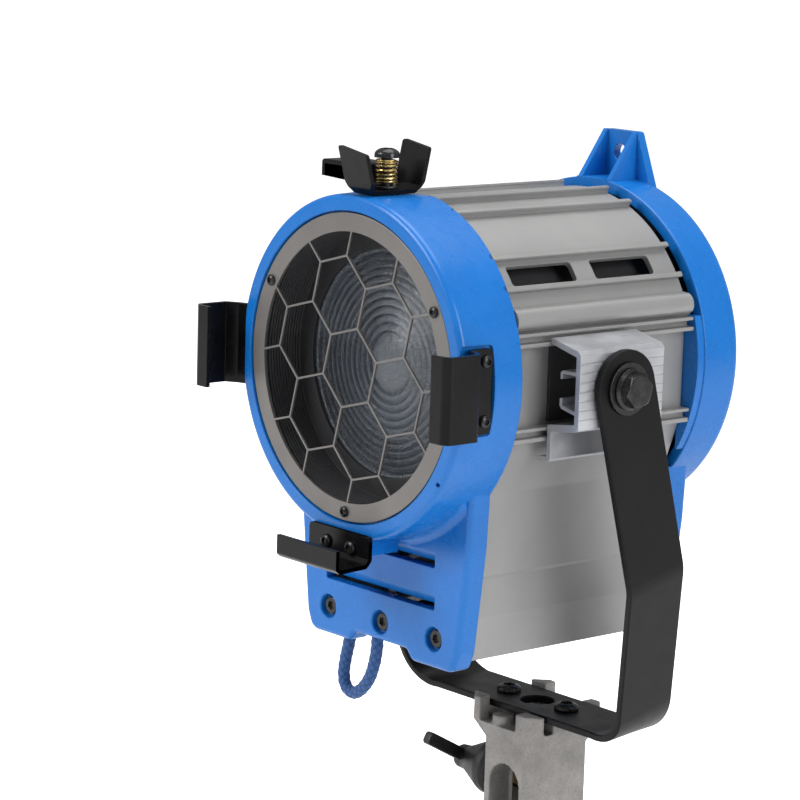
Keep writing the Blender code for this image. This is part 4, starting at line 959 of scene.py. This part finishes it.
# ================================================================ guard ring, lens, baffle
def mesh_cells():
    """Hexagons whose shared walls are the mesh's wires."""
    spacing = MESH_SIDE * math.sqrt(3.0)
    first = arc(MESH_CORNER, MESH_SIDE, MESH_ANGLE + 60.0, MESH_ANGLE + 60.0, 1)[0]
    inset = MESH_SIDE - MESH_WIRE / math.sqrt(3.0)
    cells = []
    for column in range(-5, 6):
        for row in range(-5, 6):
            shift = arc(AXIS, spacing * column, MESH_ANGLE + 30.0, MESH_ANGLE + 30.0, 1)[0]
            rise = arc(AXIS, spacing * row, MESH_ANGLE + 90.0, MESH_ANGLE + 90.0, 1)[0]
            centre = (first[0] + shift[0] + rise[0], first[1] + shift[1] + rise[1])
            if math.hypot(*centre) < RING_INNER_R + MESH_SIDE:
                corners = rounded(arc(centre, inset, MESH_ANGLE, MESH_ANGLE + 300.0, 5), 0.0005, steps=3)
                cells.append(prism(corners, "Y", -0.001, 0.003))
    return cells


def guard_ring():
    """A punched plate: a rim and a hexagonal mesh in one piece."""
    holes = shared(gathered(*mesh_cells()), rod("Y", AXIS, RING_INNER_R, -0.002, 0.004, 144))
    rim = rounded(rectangle((0.0, RING_R), (0.0, RING_THICK)), (0.0, 0.0003, 0.0002, 0.0), steps=3)
    plate = turned(rim, "Y", segments=144)
    back = rod("Y", AXIS, RING_INNER_R + 0.0003, MESH_THICK, 0.004, 144)
    screws = []
    for angle in RING_SCREW_ANGLES:
        place = arc(AXIS, RING_SCREW_R, angle, angle, 1)[0]
        screws.append(rod("Y", place, 0.0012, -0.001, 0.003, 16))
    return cut(plate, holes, back, *screws)


def light_baffle():
    """Black tube behind the guard ring, with fine anti-glare steps and the lens seat at its back."""
    profile = [(0.048, 0.002), (0.048, 0.0045), (0.053, 0.0045), (0.053, 0.0055), (0.0482, 0.0055)]
    profile += [(0.0482, 0.0176), (0.0396, 0.0176), (0.0396, 0.0164)]
    steps = 12
    for step in range(steps):
        back = 0.0164 - 0.0144 * step / steps
        profile += [(0.047, back), (0.0473, back - 0.0006)]
    profile.append((0.047, 0.002))
    return turned(profile, "Y", segments=112)


def fresnel_lens():
    """Stepped face to the front: many narrow prisms round a plain middle, each with a crisp riser."""
    front, back = LENS_Y
    profile = [(0.0, back), (LENS_R, back), (LENS_R, front + 0.0002), (LENS_R - 0.0004, front)]
    profile.append((0.0386, front))
    edges = [0.0386, 0.036, 0.0334, 0.0308, 0.0282, 0.0256, 0.0229, 0.0202, 0.0174, 0.0145, 0.0115, 0.0083]
    for outer, inner in zip(edges, edges[1:]):
        profile.append((outer - 0.0001, front + 0.0021))
        for step in range(1, 5):
            share = step / 4
            rise = 0.0021 - 0.0019 * math.sin(share * math.pi / 2)
            profile.append((outer - 0.0001 + (inner - outer + 0.0001) * share, front + rise))
    for step in range(1, 9):
        share = 1.0 - step / 8
        profile.append((edges[-1] * share, front + 0.0012 * share * share - 0.001))
    return turned(profile, "Y", segments=144)


def lens_retainer():
    return flat_ring((0.038, 0.047), (LENS_Y[1] + 0.0003, 0.028), 0.0003, "Y", AXIS, 112)


def inner_shield():
    profile = rounded(
        (
            (0.0485, 0.029), (0.0495, 0.029), (0.0495, SHIELD_BACK_Y), (0.0545, SHIELD_BACK_Y),
            (0.0545, 0.12), (0.0, 0.12), (0.0, SHIELD_BACK_Y), (0.0485, SHIELD_BACK_Y),
        ),
        (0.0002, 0.0002, 0.0, 0.0003, 0.0003, 0.0, 0.0, 0.0),
        steps=2,
    )
    opening = block((-0.0318, 0.0318), (0.028, 0.1185), (-0.056, -0.03))
    return cut(turned(profile, "Y", segments=96), opening)


# ================================================================ accessory holders
def ear():
    """Right-hand ear: front lip, two round bends, and a flange screwed into the drum's flank."""
    path = (
        (0.0597, -0.0152), (0.0652, -0.0152), (0.0679, -0.0135), (0.0679, -0.0012), (0.063, 0.002),
        (0.0588, 0.0035), (0.0588, 0.0125),
    )
    line = rounded(path, (0.0, 0.0022, 0.0022, 0.0016, 0.003, 0.002, 0.0), closed=False, steps=6)
    body = prism(folded(line, SHEET), "Z", -EAR_HALF, EAR_HALF)
    holes = [rod("X", place, 0.0012, 0.055, 0.062, 20) for _, place in reversed(EAR_SCREWS)]
    side = rounded(rectangle((-0.02, 0.0125), (-EAR_HALF, EAR_HALF)), (0.0, 0.0022, 0.0022, 0.0))
    return cut(shared(body, prism(side, "X", 0.05, 0.08)), *holes)


def bottom_bracket():
    path = (
        (-0.0008, -0.0557), (-0.0008, -0.064), (-0.003, -0.0665), (-0.0148, -0.067), (-0.0166, -0.0655),
        (-0.0166, -0.0588),
    )
    line = rounded(path, (0.0, 0.0018, 0.0018, 0.0014, 0.0014, 0.0), closed=False, steps=5)
    body = prism(folded(line, -SHEET), "X", -BRACKET_HALF, BRACKET_HALF)
    face = rectangle((-BRACKET_HALF, BRACKET_HALF), (-0.07, -0.0557))
    body = shared(body, prism(rounded(face, (0.0, 0.0, 0.0016, 0.0016)), "Y", -0.02, 0.002))
    return cut(body, *[rod("Y", place, 0.0014, -0.005, 0.002, 20) for _, place in BRACKET_SCREWS])


def top_latch():
    """Folded plate with two wings and a hook, drawn open with its hook to -X."""
    low = LATCH_SEAT_Z + 0.0003
    top = low + SHEET
    wing_path = (
        (LATCH_Y - 0.016, 0.0755),
        (LATCH_Y - 0.012, low + 0.0022),
        (LATCH_Y - 0.01, low),
        (LATCH_Y + 0.0092, low),
        (LATCH_Y + 0.011, low + 0.0022),
        (LATCH_Y + 0.0143, 0.0766),
    )
    line = rounded(wing_path, (0.0, 0.002, 0.002, 0.002, 0.002, 0.0), closed=False, steps=5)
    wings = prism(folded(line, SHEET), "X", -0.007, 0.007)
    flank = [(0.0048, 0.05), (0.0048, low + 0.0006), (0.007, low + 0.004)]
    mirror = [(-x, z) for x, z in reversed(flank)]
    radii = (0.0, 0.002, 0.003, 0.001, 0.001, 0.003, 0.002, 0.0)
    front_face = rounded([*flank, (0.007, 0.0731), (-0.007, 0.0756), *mirror], radii)
    rear_face = rounded([*flank, (0.007, 0.0747), (-0.007, 0.0767), *mirror], radii)
    trim = joined(prism(front_face, "Y", -0.01, LATCH_Y), prism(rear_face, "Y", LATCH_Y, 0.04))
    wings = shared(wings, trim)
    hook_path = (
        (-0.003, top),
        (-0.0062, top),
        (-0.0076, top + 0.0014),
        (-0.0076, 0.068), (-0.0084, 0.0688), (-0.0254, 0.0688), (-0.0262, 0.068), (-0.0262, 0.063),
    )
    radii = (0.0, 0.001, 0.001, 0.0008, 0.0008, 0.001, 0.001, 0.0)
    line = rounded(hook_path, radii, closed=False, steps=4)
    hook = prism(folded(line, SHEET), "Y", LATCH_Y - 0.007, LATCH_Y + 0.007)
    return cut(joined(wings, hook), rod("Z", (0.0, LATCH_Y), LATCH_HOLE_R, 0.05, 0.07, 32))


def latch_washer():
    low = LATCH_SEAT_Z + SHEET + 0.0006
    return flat_ring((LATCH_HOLE_R, 0.0042), (low, low + 0.0008), 0.0002, "Z", (0.0, LATCH_Y), 48)


def latch_spring():
    """Compression spring with closed ends, from the washer up to the screw's head."""
    wire = 0.00048
    radius = 0.0034
    turns = 7.0
    low = LATCH_SEAT_Z + SHEET + 0.0017 + wire
    high = LATCH_SCREW_SEAT_Z - 0.0003 - wire
    steps = int(turns * 28)
    path = []
    for step in range(steps + 1):
        share = step / steps
        height = low + (high - low) * (share - 0.055 * math.sin(2 * math.pi * share))
        angle = 2 * math.pi * turns * share
        path.append(Vector((radius * math.cos(angle), LATCH_Y + radius * math.sin(angle), height)))
    return swept(path, wire, 10)


# ================================================================ tilt pivot
def side_bracket():
    """Right-hand extruded channel over the side panel, with hooked lips, which takes the pivot bolt."""
    outline = (
        (0.0576, 0.0154), (0.0576, 0.0134), (0.07, 0.0104), (0.07, 0.0052), (0.0636, 0.0052),
        (0.0626, 0.0044), (0.0626, 0.0022), (0.0636, 0.0022), (0.0636, 0.0041), (0.07, 0.0041),
        (0.07, -0.008), (0.0642, -0.0068), (0.0636, -0.0064), (0.0636, -0.0042), (0.0626, -0.0042),
        (0.0626, -0.0068), (0.0636, -0.0078), (0.07, -0.0092), (0.07, -0.0124), (0.0572, -0.0142),
        (0.0572, -0.025), (0.053, -0.0254), (0.053, -0.0268), (0.058, -0.0268), (0.059, -0.0258),
        (0.059, -0.0164), (0.0706, -0.0148), (0.072, -0.014), (0.072, 0.0112), (0.0706, 0.0126),
    )
    body = prism(rounded(outline, 0.0003, steps=3), "Y", 0.0397, 0.0787)
    flutes = [rod("Y", (0.0722, 0.0082 - 0.0031 * row), 0.0004, 0.038, 0.08, 12) for row in range(7)]
    return cut(body, gathered(*flutes), rod("X", PIVOT, PIVOT_HOLE_R, 0.06, 0.075, 32))


def pivot_bolt():
    """Hexagon flange bolt with a chamfered head."""
    crown = ((0.0, 0.0772), (0.0075, 0.0772), (0.0075, 0.08), (0.005, 0.0812), (0.0, 0.0812))
    head = shared(hexagon("X", PIVOT, 0.0107, 0.0772, 0.0812, 12.0), turned(crown, "X", PIVOT, 48))
    dish = turned(((0.0, 0.081), (0.003, 0.081), (0.0038, 0.0813), (0.0, 0.0813)), "X", PIVOT, 40)
    flange = [(0.0, 0.0764), (0.0069, 0.0764), (0.0072, 0.0767), (0.0072, 0.077), (0.0062, 0.0778)]
    flange = turned([*flange, (0.0, 0.0778)], "X", PIVOT, 64)
    shank = rod("X", PIVOT, 0.004, 0.064, 0.0768, 32)
    return cut(joined(shank, flange, head), dish)


def pivot_washer():
    return flat_ring((PIVOT_HOLE_R, 0.009), (0.0752, 0.0761), 0.0002, "X", PIVOT, 64)


def tilt_lever():
    """Moulded hand lever that clamps the far yoke arm."""
    profile = rounded(
        ((0.0043, -0.0765), (0.012, -0.0765), (0.012, -0.08), (0.0095, -0.088), (0.0043, -0.088)),
        (0.0, 0.0005, 0.001, 0.001, 0.0003),
    )
    hub = turned(profile, "X", PIVOT, 64)
    y, z = PIVOT
    side = (
        (y + 0.006, z + 0.006),
        (y + 0.01, z + 0.01),
        (y + 0.011, z + 0.043),
        (y + 0.0085, z + 0.046),
        (y + 0.0035, z + 0.046),
        (y + 0.001, z + 0.043),
        (y - 0.005, z + 0.008),
    )
    blade = prism(rounded(side, (0.0, 0.001, 0.003, 0.003, 0.003, 0.003, 0.002)), "X", -0.087, -0.0815)
    blade = softened(blade, 0.0012, 4)
    return joined(hub, blade)


# ================================================================ yoke
def yoke_stations():
    """Centre, rake share and half width of the strip, from the base's middle up to one arm's end."""
    kink_z = YOKE_KINK[1]
    lean = math.tan(YOKE_LEAN_IN)
    corner_x = YOKE_ARM_X - (kink_z - YOKE_BASE_Z) * lean
    turn = math.pi / 2 - YOKE_LEAN_IN
    reach = YOKE_BEND_R * math.tan(turn / 2)
    half = YOKE_WIDTH / 2
    stations = [(0.0, YOKE_BASE_Z, 0.0, half), (0.02, YOKE_BASE_Z, 0.0, half)]
    for step in range(19):
        angle = turn * step / 18
        x = corner_x - reach + YOKE_BEND_R * math.sin(angle)
        z = YOKE_BASE_Z + YOKE_BEND_R * (1 - math.cos(angle))
        stations.append((x, z, step / 18, half))
    for step in range(1, 4):
        z = -0.117 + (kink_z - 0.003 + 0.117) * step / 3
        stations.append((YOKE_ARM_X - (kink_z - z) * lean, z, 1.0, half))
    for step in range(7):
        share = step / 6
        z = kink_z - 0.0025 + 0.005 * share
        stations.append((YOKE_ARM_X - lean * 0.0025 * (1 - share) ** 2, z, 1.0, half))
    stations.append((YOKE_ARM_X, PIVOT[1], 1.0, half))
    for step in range(1, 12):
        angle = math.pi / 2 * step / 12
        rise = half * math.sin(angle) * math.cos(YOKE_RAKE)
        stations.append((YOKE_ARM_X, PIVOT[1] + rise, 1.0, half * math.cos(angle)))
    return stations


def yoke_centre_y(z):
    kink_y, kink_z = YOKE_KINK
    if z < kink_z:
        return YOKE_BASE_Y + (kink_y - YOKE_BASE_Y) * (z - YOKE_BASE_Z) / (kink_z - YOKE_BASE_Z)
    return kink_y + (PIVOT[0] - kink_y) * (z - kink_z) / (PIVOT[1] - kink_z)


def yoke():
    """Bent flat bar with rounded long edges: a level base and two raked arms."""
    half_stations = yoke_stations()
    stations = [(-x, z, rake, half) for x, z, rake, half in reversed(half_stations[1:])] + half_stations
    centres = [Vector((x, yoke_centre_y(z), z)) for x, z, _, _ in stations]
    thick = YOKE_THICK / 2
    bm = bmesh.new()
    rings = []
    for index, (_, _, rake, half) in enumerate(stations):
        before = centres[max(index - 1, 0)]
        after = centres[min(index + 1, len(centres) - 1)]
        along = (after - before).normalized()
        wide = Vector((0.0, math.cos(YOKE_RAKE * rake), math.sin(YOKE_RAKE * rake)))
        through = along.cross(wide).normalized()
        section = rounded(((half, thick), (half, -thick), (-half, -thick), (-half, thick)), 0.0005, steps=3)
        rings.append([bm.verts.new(centres[index] + wide * a + through * b) for a, b in section])
    top = YOKE_BASE_Z + thick
    return cut(
        skinned(bm, rings),
        rod("X", PIVOT, PIVOT_HOLE_R, 0.06, 0.085, 32),
        rod("X", PIVOT, PIVOT_HOLE_R, -0.085, -0.06, 32),
        bore("Z", (0.0, YOKE_BASE_Y), 0.0063, top, -0.14, 0.0003, 48),
        rod("Z", (YOKE_SCREW_X, YOKE_BASE_Y), 0.0025, -0.14, -0.125, 24),
        rod("Z", (-YOKE_SCREW_X, YOKE_BASE_Y), 0.0025, -0.14, -0.125, 24),
    )


# ================================================================ stand socket and its clamp
def stand_socket():
    """Sand casting: the CAD solid with worn edges and a pitted skin."""
    casting = as_object("casting", cad_shape("stand_socket"))
    remesh = casting.modifiers.new("skin", "REMESH")
    remesh.mode = "VOXEL"
    remesh.voxel_size = 0.0005
    smooth = casting.modifiers.new("worn", "SMOOTH")
    smooth.factor = 0.5
    smooth.iterations = 3
    result = applied(casting)
    result.normal_update()
    for vert in result.verts:
        rough = noise.fractal(vert.co * 700.0, 1.0, 2.0, 3, noise_basis="PERLIN_ORIGINAL")
        vert.co -= vert.normal * (0.00006 + 0.00007 * rough)
    return result


def clamp_screw():
    """T-handle screw: moulded hub, threaded shank and a bar with rounded ends."""
    profile = rounded(
        (
            (0.0, -0.0178), (0.009, -0.0178), (0.0104, -0.0198), (0.0104, -0.023), (0.0048, -0.0355),
            (0.0044, -0.0405), (0.0, -0.041),
        ),
        (0.0, 0.0006, 0.0008, 0.005, 0.006, 0.001, 0.0),
        steps=6,
    )
    hub = turned(profile, "X", CLAMP, 64)
    lean = math.radians(29.0)
    half_long = Vector((-math.cos(lean), math.sin(lean))) * 0.023
    half_wide = Vector((math.sin(lean), math.cos(lean))) * 0.0024
    corners = (half_long + half_wide, half_long - half_wide, -half_long - half_wide, -half_long + half_wide)
    flat_face = rounded([tuple(Vector(CLAMP) + corner) for corner in corners], 0.0014)
    bar = softened(prism(flat_face, "X", -0.0394, -0.0358), 0.0004)
    thread = [(0.0, -0.011), (0.0034, -0.011), (0.0039, -0.0114)]
    for turn in range(9):
        start = -0.0114 - 0.00125 * turn
        steps = ((0.004, 0.0003), (0.0035, 0.0007), (0.0035, 0.0009), (0.004, 0.00125))
        thread += [(radius, start - drop) for radius, drop in steps]
    thread += [(0.004, -0.024), (0.0, -0.024)]
    return joined(hub, turned(thread, "X", CLAMP, 32), bar)


# ================================================================ back of the head
def focus_knob():
    """Moulded knob with scalloped grips and a raised rim."""
    outline = []
    for tooth in range(20):
        outline += arc(SPINDLE, 0.0112, tooth * 18.0 - 5.5, tooth * 18.0 + 5.5, 3)
        outline += arc(SPINDLE, 0.0106, tooth * 18.0 + 8.0, tooth * 18.0 + 10.0, 1)
    envelope = rounded(rectangle((0.0, 0.0112), (0.1212, 0.136)), (0.0, 0.0006, 0.0022, 0.0), steps=6)
    knob = shared(prism(outline, "Y", 0.1212, 0.136), turned(envelope, "Y", SPINDLE, 64))
    dish = turned(((0.0, 0.135), (0.007, 0.135), (0.008, 0.1362), (0.0, 0.1362)), "Y", SPINDLE, 64)
    mark = block((-0.0005, 0.0005), (0.1345, 0.1362), (SPINDLE[1] + 0.0015, SPINDLE[1] + 0.0066))
    return cut(knob, rod("Y", SPINDLE, 0.0033, 0.12, 0.1234, 24), dish, mark)


def cable_gland():
    profile = rounded(
        (
            (0.0, 0.116), (0.004, 0.116), (0.004, 0.1208), (0.0075, 0.1208), (0.0075, 0.125),
            (0.006, 0.1262), (0.0052, 0.131), (0.003, 0.131), (0.003, 0.123), (0.0, 0.123),
        ),
        (0.0, 0.0003, 0.0, 0.0003, 0.0006, 0.0004, 0.001, 0.0006, 0.0003, 0.0),
        steps=4,
    )
    body = turned(profile, "Y", GLAND, 48)
    flats = prism(arc(GLAND, 0.0079, 0.0, 300.0, 5), "Y", 0.12, 0.1256)
    return shared(body, joined(flats, rod("Y", GLAND, 0.0068, 0.115, 0.133, 48)))


# ================================================================ lamp and carriage
def lamp_glass():
    """Fused envelope with a pressed foot."""
    profile = rounded(
        (
            (0.0, -0.0305), (0.006, -0.0305), (0.0068, -0.02), (0.0068, 0.004), (0.0048, 0.009),
            (0.0, 0.012),
        ),
        (0.0, 0.0008, 0.002, 0.004, 0.005, 0.0),
        steps=6,
    )
    bulb = turned(profile, "Z", (0.0, LAMP_Y), 48)
    base = block((-0.008, 0.008), (LAMP_Y - 0.0045, LAMP_Y + 0.0045), (-0.0467, -0.03))
    base = softened(base, 0.001, 3)
    pins = [rod("Z", (x, LAMP_Y), 0.0009, -0.0505, -0.046, 20) for x in (-0.0045, 0.0045)]
    return joined(base, bulb, *pins)


def reflector():
    """Spherical mirror whose centre of curvature is the filament."""
    outer = arc(AXIS, 0.027, 0.0, 58.0, 30)
    inner = arc(AXIS, 0.0262, 58.0, 0.0, 30)
    profile = [(height, LAMP_Y + along) for along, height in outer]
    profile += [(height, LAMP_Y + along) for along, height in inner]
    profile[0] = (0.0, profile[0][1])
    profile[-1] = (0.0, profile[-1][1])
    dish = turned(profile, "Y", segments=72)
    return cut(dish, block((-0.01, 0.01), (LAMP_Y + 0.005, LAMP_Y + 0.04), (-0.04, -0.018)))


# ================================================================ pull loop
def smooth_path(points, spacing):
    """Evenly spaced points on a Catmull-Rom curve through the route."""
    fine = []
    ends = [points[0] * 2 - points[1], *points, points[-1] * 2 - points[-2]]
    for a, b, c, d in zip(ends, ends[1:], ends[2:], ends[3:]):
        for step in range(40):
            t = step / 40
            bend = (2 * a - 5 * b + 4 * c - d) * t**2 + (3 * b - a - 3 * c + d) * t**3
            fine.append(0.5 * (2 * b + (c - a) * t + bend))
    fine.append(points[-1])
    length = sum((b - a).length for a, b in zip(fine, fine[1:]))
    count = round(length / spacing)
    path = [fine[0]]
    run = 0.0
    for a, b in zip(fine, fine[1:]):
        run += (b - a).length
        if run >= length * len(path) / count and len(path) < count:
            path.append(b)
    path.append(fine[-1])
    return path, length


def add_pull_loop():
    """Braided loop: a tube whose skin rises and falls with two sets of crossing strands, with that rise also
    kept as painted shade for the grooves.
    """
    route = [Vector((x, ROPE_Y, z)) + HEAD for x, z in ROPE_ROUTE]
    path, length = smooth_path(route, 0.00024)
    sides = 60
    strands = 5
    pitch = 0.003
    bm = bmesh.new()
    rings = []
    painted_groove_values = []
    run = 0.0
    across = Vector((0.0, 1.0, 0.0))
    for index, point in enumerate(path):
        before = path[max(index - 1, 0)]
        after = path[min(index + 1, len(path) - 1)]
        along = (after - before).normalized()
        across = (across - along * across.dot(along)).normalized()
        over = along.cross(across)
        if index:
            run += (point - path[index - 1]).length
        ring = []
        for side in range(sides):
            turn = strands * side / sides
            u = turn + run / pitch
            v = turn - run / pitch
            if (math.floor(u) + math.floor(v)) % 2:
                u, v = v, u
            width = math.sin(math.pi * (u - math.floor(u)))
            arch = math.sin(math.pi * (v - math.floor(v)))
            rise = math.sqrt(width) * (0.45 + 0.55 * arch)
            radius = ROPE_R * (0.87 + 0.13 * rise)
            angle = 2 * math.pi * side / sides
            ring.append(bm.verts.new(point + radius * (math.cos(angle) * across + math.sin(angle) * over)))
            # the rise also sets the painted shade in the grooves
            painted_groove_values.append(rise)
        rings.append(ring)
    loop = as_object("braided_pull_loop", skinned(bm, rings))
    # painted shade: the attribute darkens the colour where the skin sinks between strands
    painted_groove_shade = loop.data.attributes.new("painted_groove_shade", "FLOAT", "POINT")
    painted_groove_shade.data.foreach_set("value", painted_groove_values)
    loop.data.shade_smooth()
    loop.data.materials.append(FINISHES["braid"])
    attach(loop, "head")
    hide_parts("pull_loop")


# ================================================================ assembly
HOUSING = (  # name, shape, finish, slot, CAD node
    ("front_body_casting", front_casting, "blue", "blue_enamel", "front_casting"),
    ("rear_body_casting", rear_casting, "blue", "blue_enamel", "rear_casting"),
    ("ribbed_top_shell", top_shell, "silver", "satin_aluminium", "top_shell"),
    ("ribbed_right_shell", side_shell, "silver", "satin_aluminium", "right_shell"),
    ("ribbed_left_shell", lambda: mirrored(side_shell()), "silver", "satin_aluminium", "left_shell"),
    ("slotted_bottom_pan", bottom_pan, "silver", "satin_aluminium", "bottom_pan"),
)
OPTICS = (
    ("stepped_light_baffle", light_baffle, "inside", "black_enamel", "light_baffle"),
    ("stepped_lens", fresnel_lens, "glass", "lens_glass", "fresnel_lens"),
    ("lens_retaining_ring", lens_retainer, "steel", "zinc_steel", "lens_retainer"),
    ("inner_light_shield", inner_shield, "inside", "black_enamel", "inner_shield"),
)
INSIDE_FINISHES = (  # CAD nodes that are seen as they are
    ("guide_rod_left", "steel"),
    ("guide_rod_right", "steel"),
    ("lamp_carriage", "steel"),
    ("lamp_holder", "ceramic"),
    ("focus_spindle", "steel"),
)


def add_pieces(rows):
    for name, shape, *rest in rows:
        add_piece(name, shape(), *rest)


def add_screw(name, node, *sizes, body="head", **options):
    add_piece(name, socket_screw(*sizes, **options), "screw", "black_steel", node, body=body)


def add_stand():
    add_piece(
        "cast_stand_socket", stand_socket(), "cast", "rough_casting", "stand_socket",
        body="stand", smooth=180.0,
    )
    add_piece("yoke_bar", yoke(), "black", "black_enamel", "yoke", body="stand")
    seat = YOKE_BASE_Z + YOKE_THICK / 2 + 0.0003
    for side, sign in SIDES:
        sizes = ("Z", (sign * YOKE_SCREW_X, YOKE_BASE_Y), seat, 0.0045, 0.0025, 0.0019, seat - 0.0085)
        add_screw(f"yoke_socket_screw_{side}", f"yoke_screw_{side}", *sizes, body="stand")
    add_piece(
        "clamp_t_handle", clamp_screw(), "plastic", "black_enamel", "clamp_screw",
        body="clamp_screw", frame_at=WORLD,
    )
    profile = rounded(rectangle((0.0, 0.0036), (-0.0107, -0.0086)), (0.0, 0.0003, 0.0006, 0.0))
    pad = turned(profile, "X", CLAMP, 40)
    add_piece(
        "brass_clamp_pad", pad, "brass", "spring_brass", "clamp_pad", body="clamp_pad", frame_at=WORLD
    )


def add_housing():
    add_pieces(HOUSING)
    for name, x in FOOT_SCREWS:
        sizes = ("Y", (x, FOOT_SCREW_Z), FOOT_SEAT_Y - 0.0003, 0.0031, 0.0014, 0.0014, 0.0245)
        add_screw(f"foot_cap_screw_{name}", f"foot_screw_{name}", *sizes, flat=True, turn=24.0)
    for number, (x, z) in enumerate(REAR_SCREWS, 1):
        end = REAR_FACE_Y if z > 0.0 else REAR_BOX_Y[1]
        sizes = ("Y", (x, z), end + 0.0003, 0.0032, 0.0018, 0.0014, end - 0.008)
        add_screw(f"rear_button_screw_{number}", f"rear_screw_{number}", *sizes)


def add_optics():
    add_piece("punched_guard_ring", guard_ring(), "ring", "ring_steel", "guard_ring")
    for number, angle in enumerate(RING_SCREW_ANGLES, 1):
        place = arc(AXIS, RING_SCREW_R, angle, angle, 1)[0]
        sizes = ("Y", place, -0.0003, 0.0019, 0.0011, 0.0009, 0.004)
        add_screw(f"ring_button_screw_{number}", f"ring_screw_{number}", *sizes, turn=25.0 * number)
    add_pieces(OPTICS)


def add_holders():
    for side, sign in SIDES:
        add_piece(f"folded_ear_{side}", on_side(ear, sign), "gloss", "black_enamel", f"ear_{side}")
        for name, place in EAR_SCREWS:
            sizes = ("X", place, sign * 0.0591, 0.0021, 0.0013, 0.0009, sign * 0.0545)
            add_screw(f"ear_button_screw_{side}_{name}", f"ear_screw_{side}_{name}", *sizes)
    add_piece("folded_bottom_bracket", bottom_bracket(), "gloss", "black_enamel", "bottom_bracket")
    for side, place in BRACKET_SCREWS:
        sizes = ("Y", place, -0.0026, 0.0024, 0.0013, 0.0011, 0.006)
        add_screw(f"bracket_button_screw_{side}", f"bracket_screw_{side}", *sizes)

    sizes = ("Z", (0.0, LATCH_Y), LATCH_SCREW_SEAT_Z, 0.0044, 0.0034, 0.0019, 0.0555)
    add_screw("latch_dome_screw", "latch_screw", *sizes, turn=5.0)
    washer = latch_washer()
    add_piece("latch_flat_washer", washer, "screw", "black_steel", "latch_washer", body="latch_washer")
    spring = add_piece("coiled_latch_spring", latch_spring(), "brass", "spring_brass", "latch_spring")
    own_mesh(spring)
    add_piece("folded_top_latch", top_latch(), "latch", "black_enamel", "top_latch", body="top_latch")


def add_pivots():
    for side, sign in SIDES:
        bracket = on_side(side_bracket, sign)
        add_piece(f"hooked_bracket_{side}", bracket, "bright", "bright_aluminium", f"side_bracket_{side}")
        washer = on_side(pivot_washer, sign)
        add_piece(f"flat_washer_{side}", washer, "screw", "black_steel", f"pivot_washer_{side}")
        # painted shade: black liner plates inside each bracket channel stand in for the shade that falls
        # there
        NODES[f"bracket_liner_{side}"].material_slots[0].material = FINISHES["inside"]
    add_piece("hex_flange_bolt", pivot_bolt(), "screw", "black_steel", "pivot_bolt_right")
    stud = socket_screw("X", PIVOT, -0.0883, 0.006, 0.0022, 0.004, -0.064)
    add_piece("shouldered_stud", stud, "steel", "zinc_steel", "pivot_stud_left")
    add_piece(
        "moulded_tilt_lever", tilt_lever(), "plastic", "black_plastic", "tilt_lock_lever",
        body="tilt_lock_lever",
    )


def add_lamp_and_focus():
    for node, finish in INSIDE_FINISHES:
        NODES[node].material_slots[0].material = FINISHES[finish]
    add_piece("halogen_bulb", lamp_glass(), "glass", "lens_glass", "halogen_lamp", body="lamp_carriage")
    add_piece("spun_reflector", reflector(), "mirror", "reflector_mirror", "reflector", body="lamp_carriage")
    knob = focus_knob()
    add_piece("scalloped_focus_knob", knob, "plastic", "black_plastic", "focus_knob", body="focus_drive")
    add_piece("moulded_cable_gland", cable_gland(), "plastic", "black_plastic", "cable_gland")


FINISHES = make_finishes()
add_camera()
add_pull_loop()
add_studio()
add_stand()
add_housing()
add_optics()
add_holders()
add_pivots()
add_lamp_and_focus()
bpy.context.scene.view_settings.view_transform = "Standard"
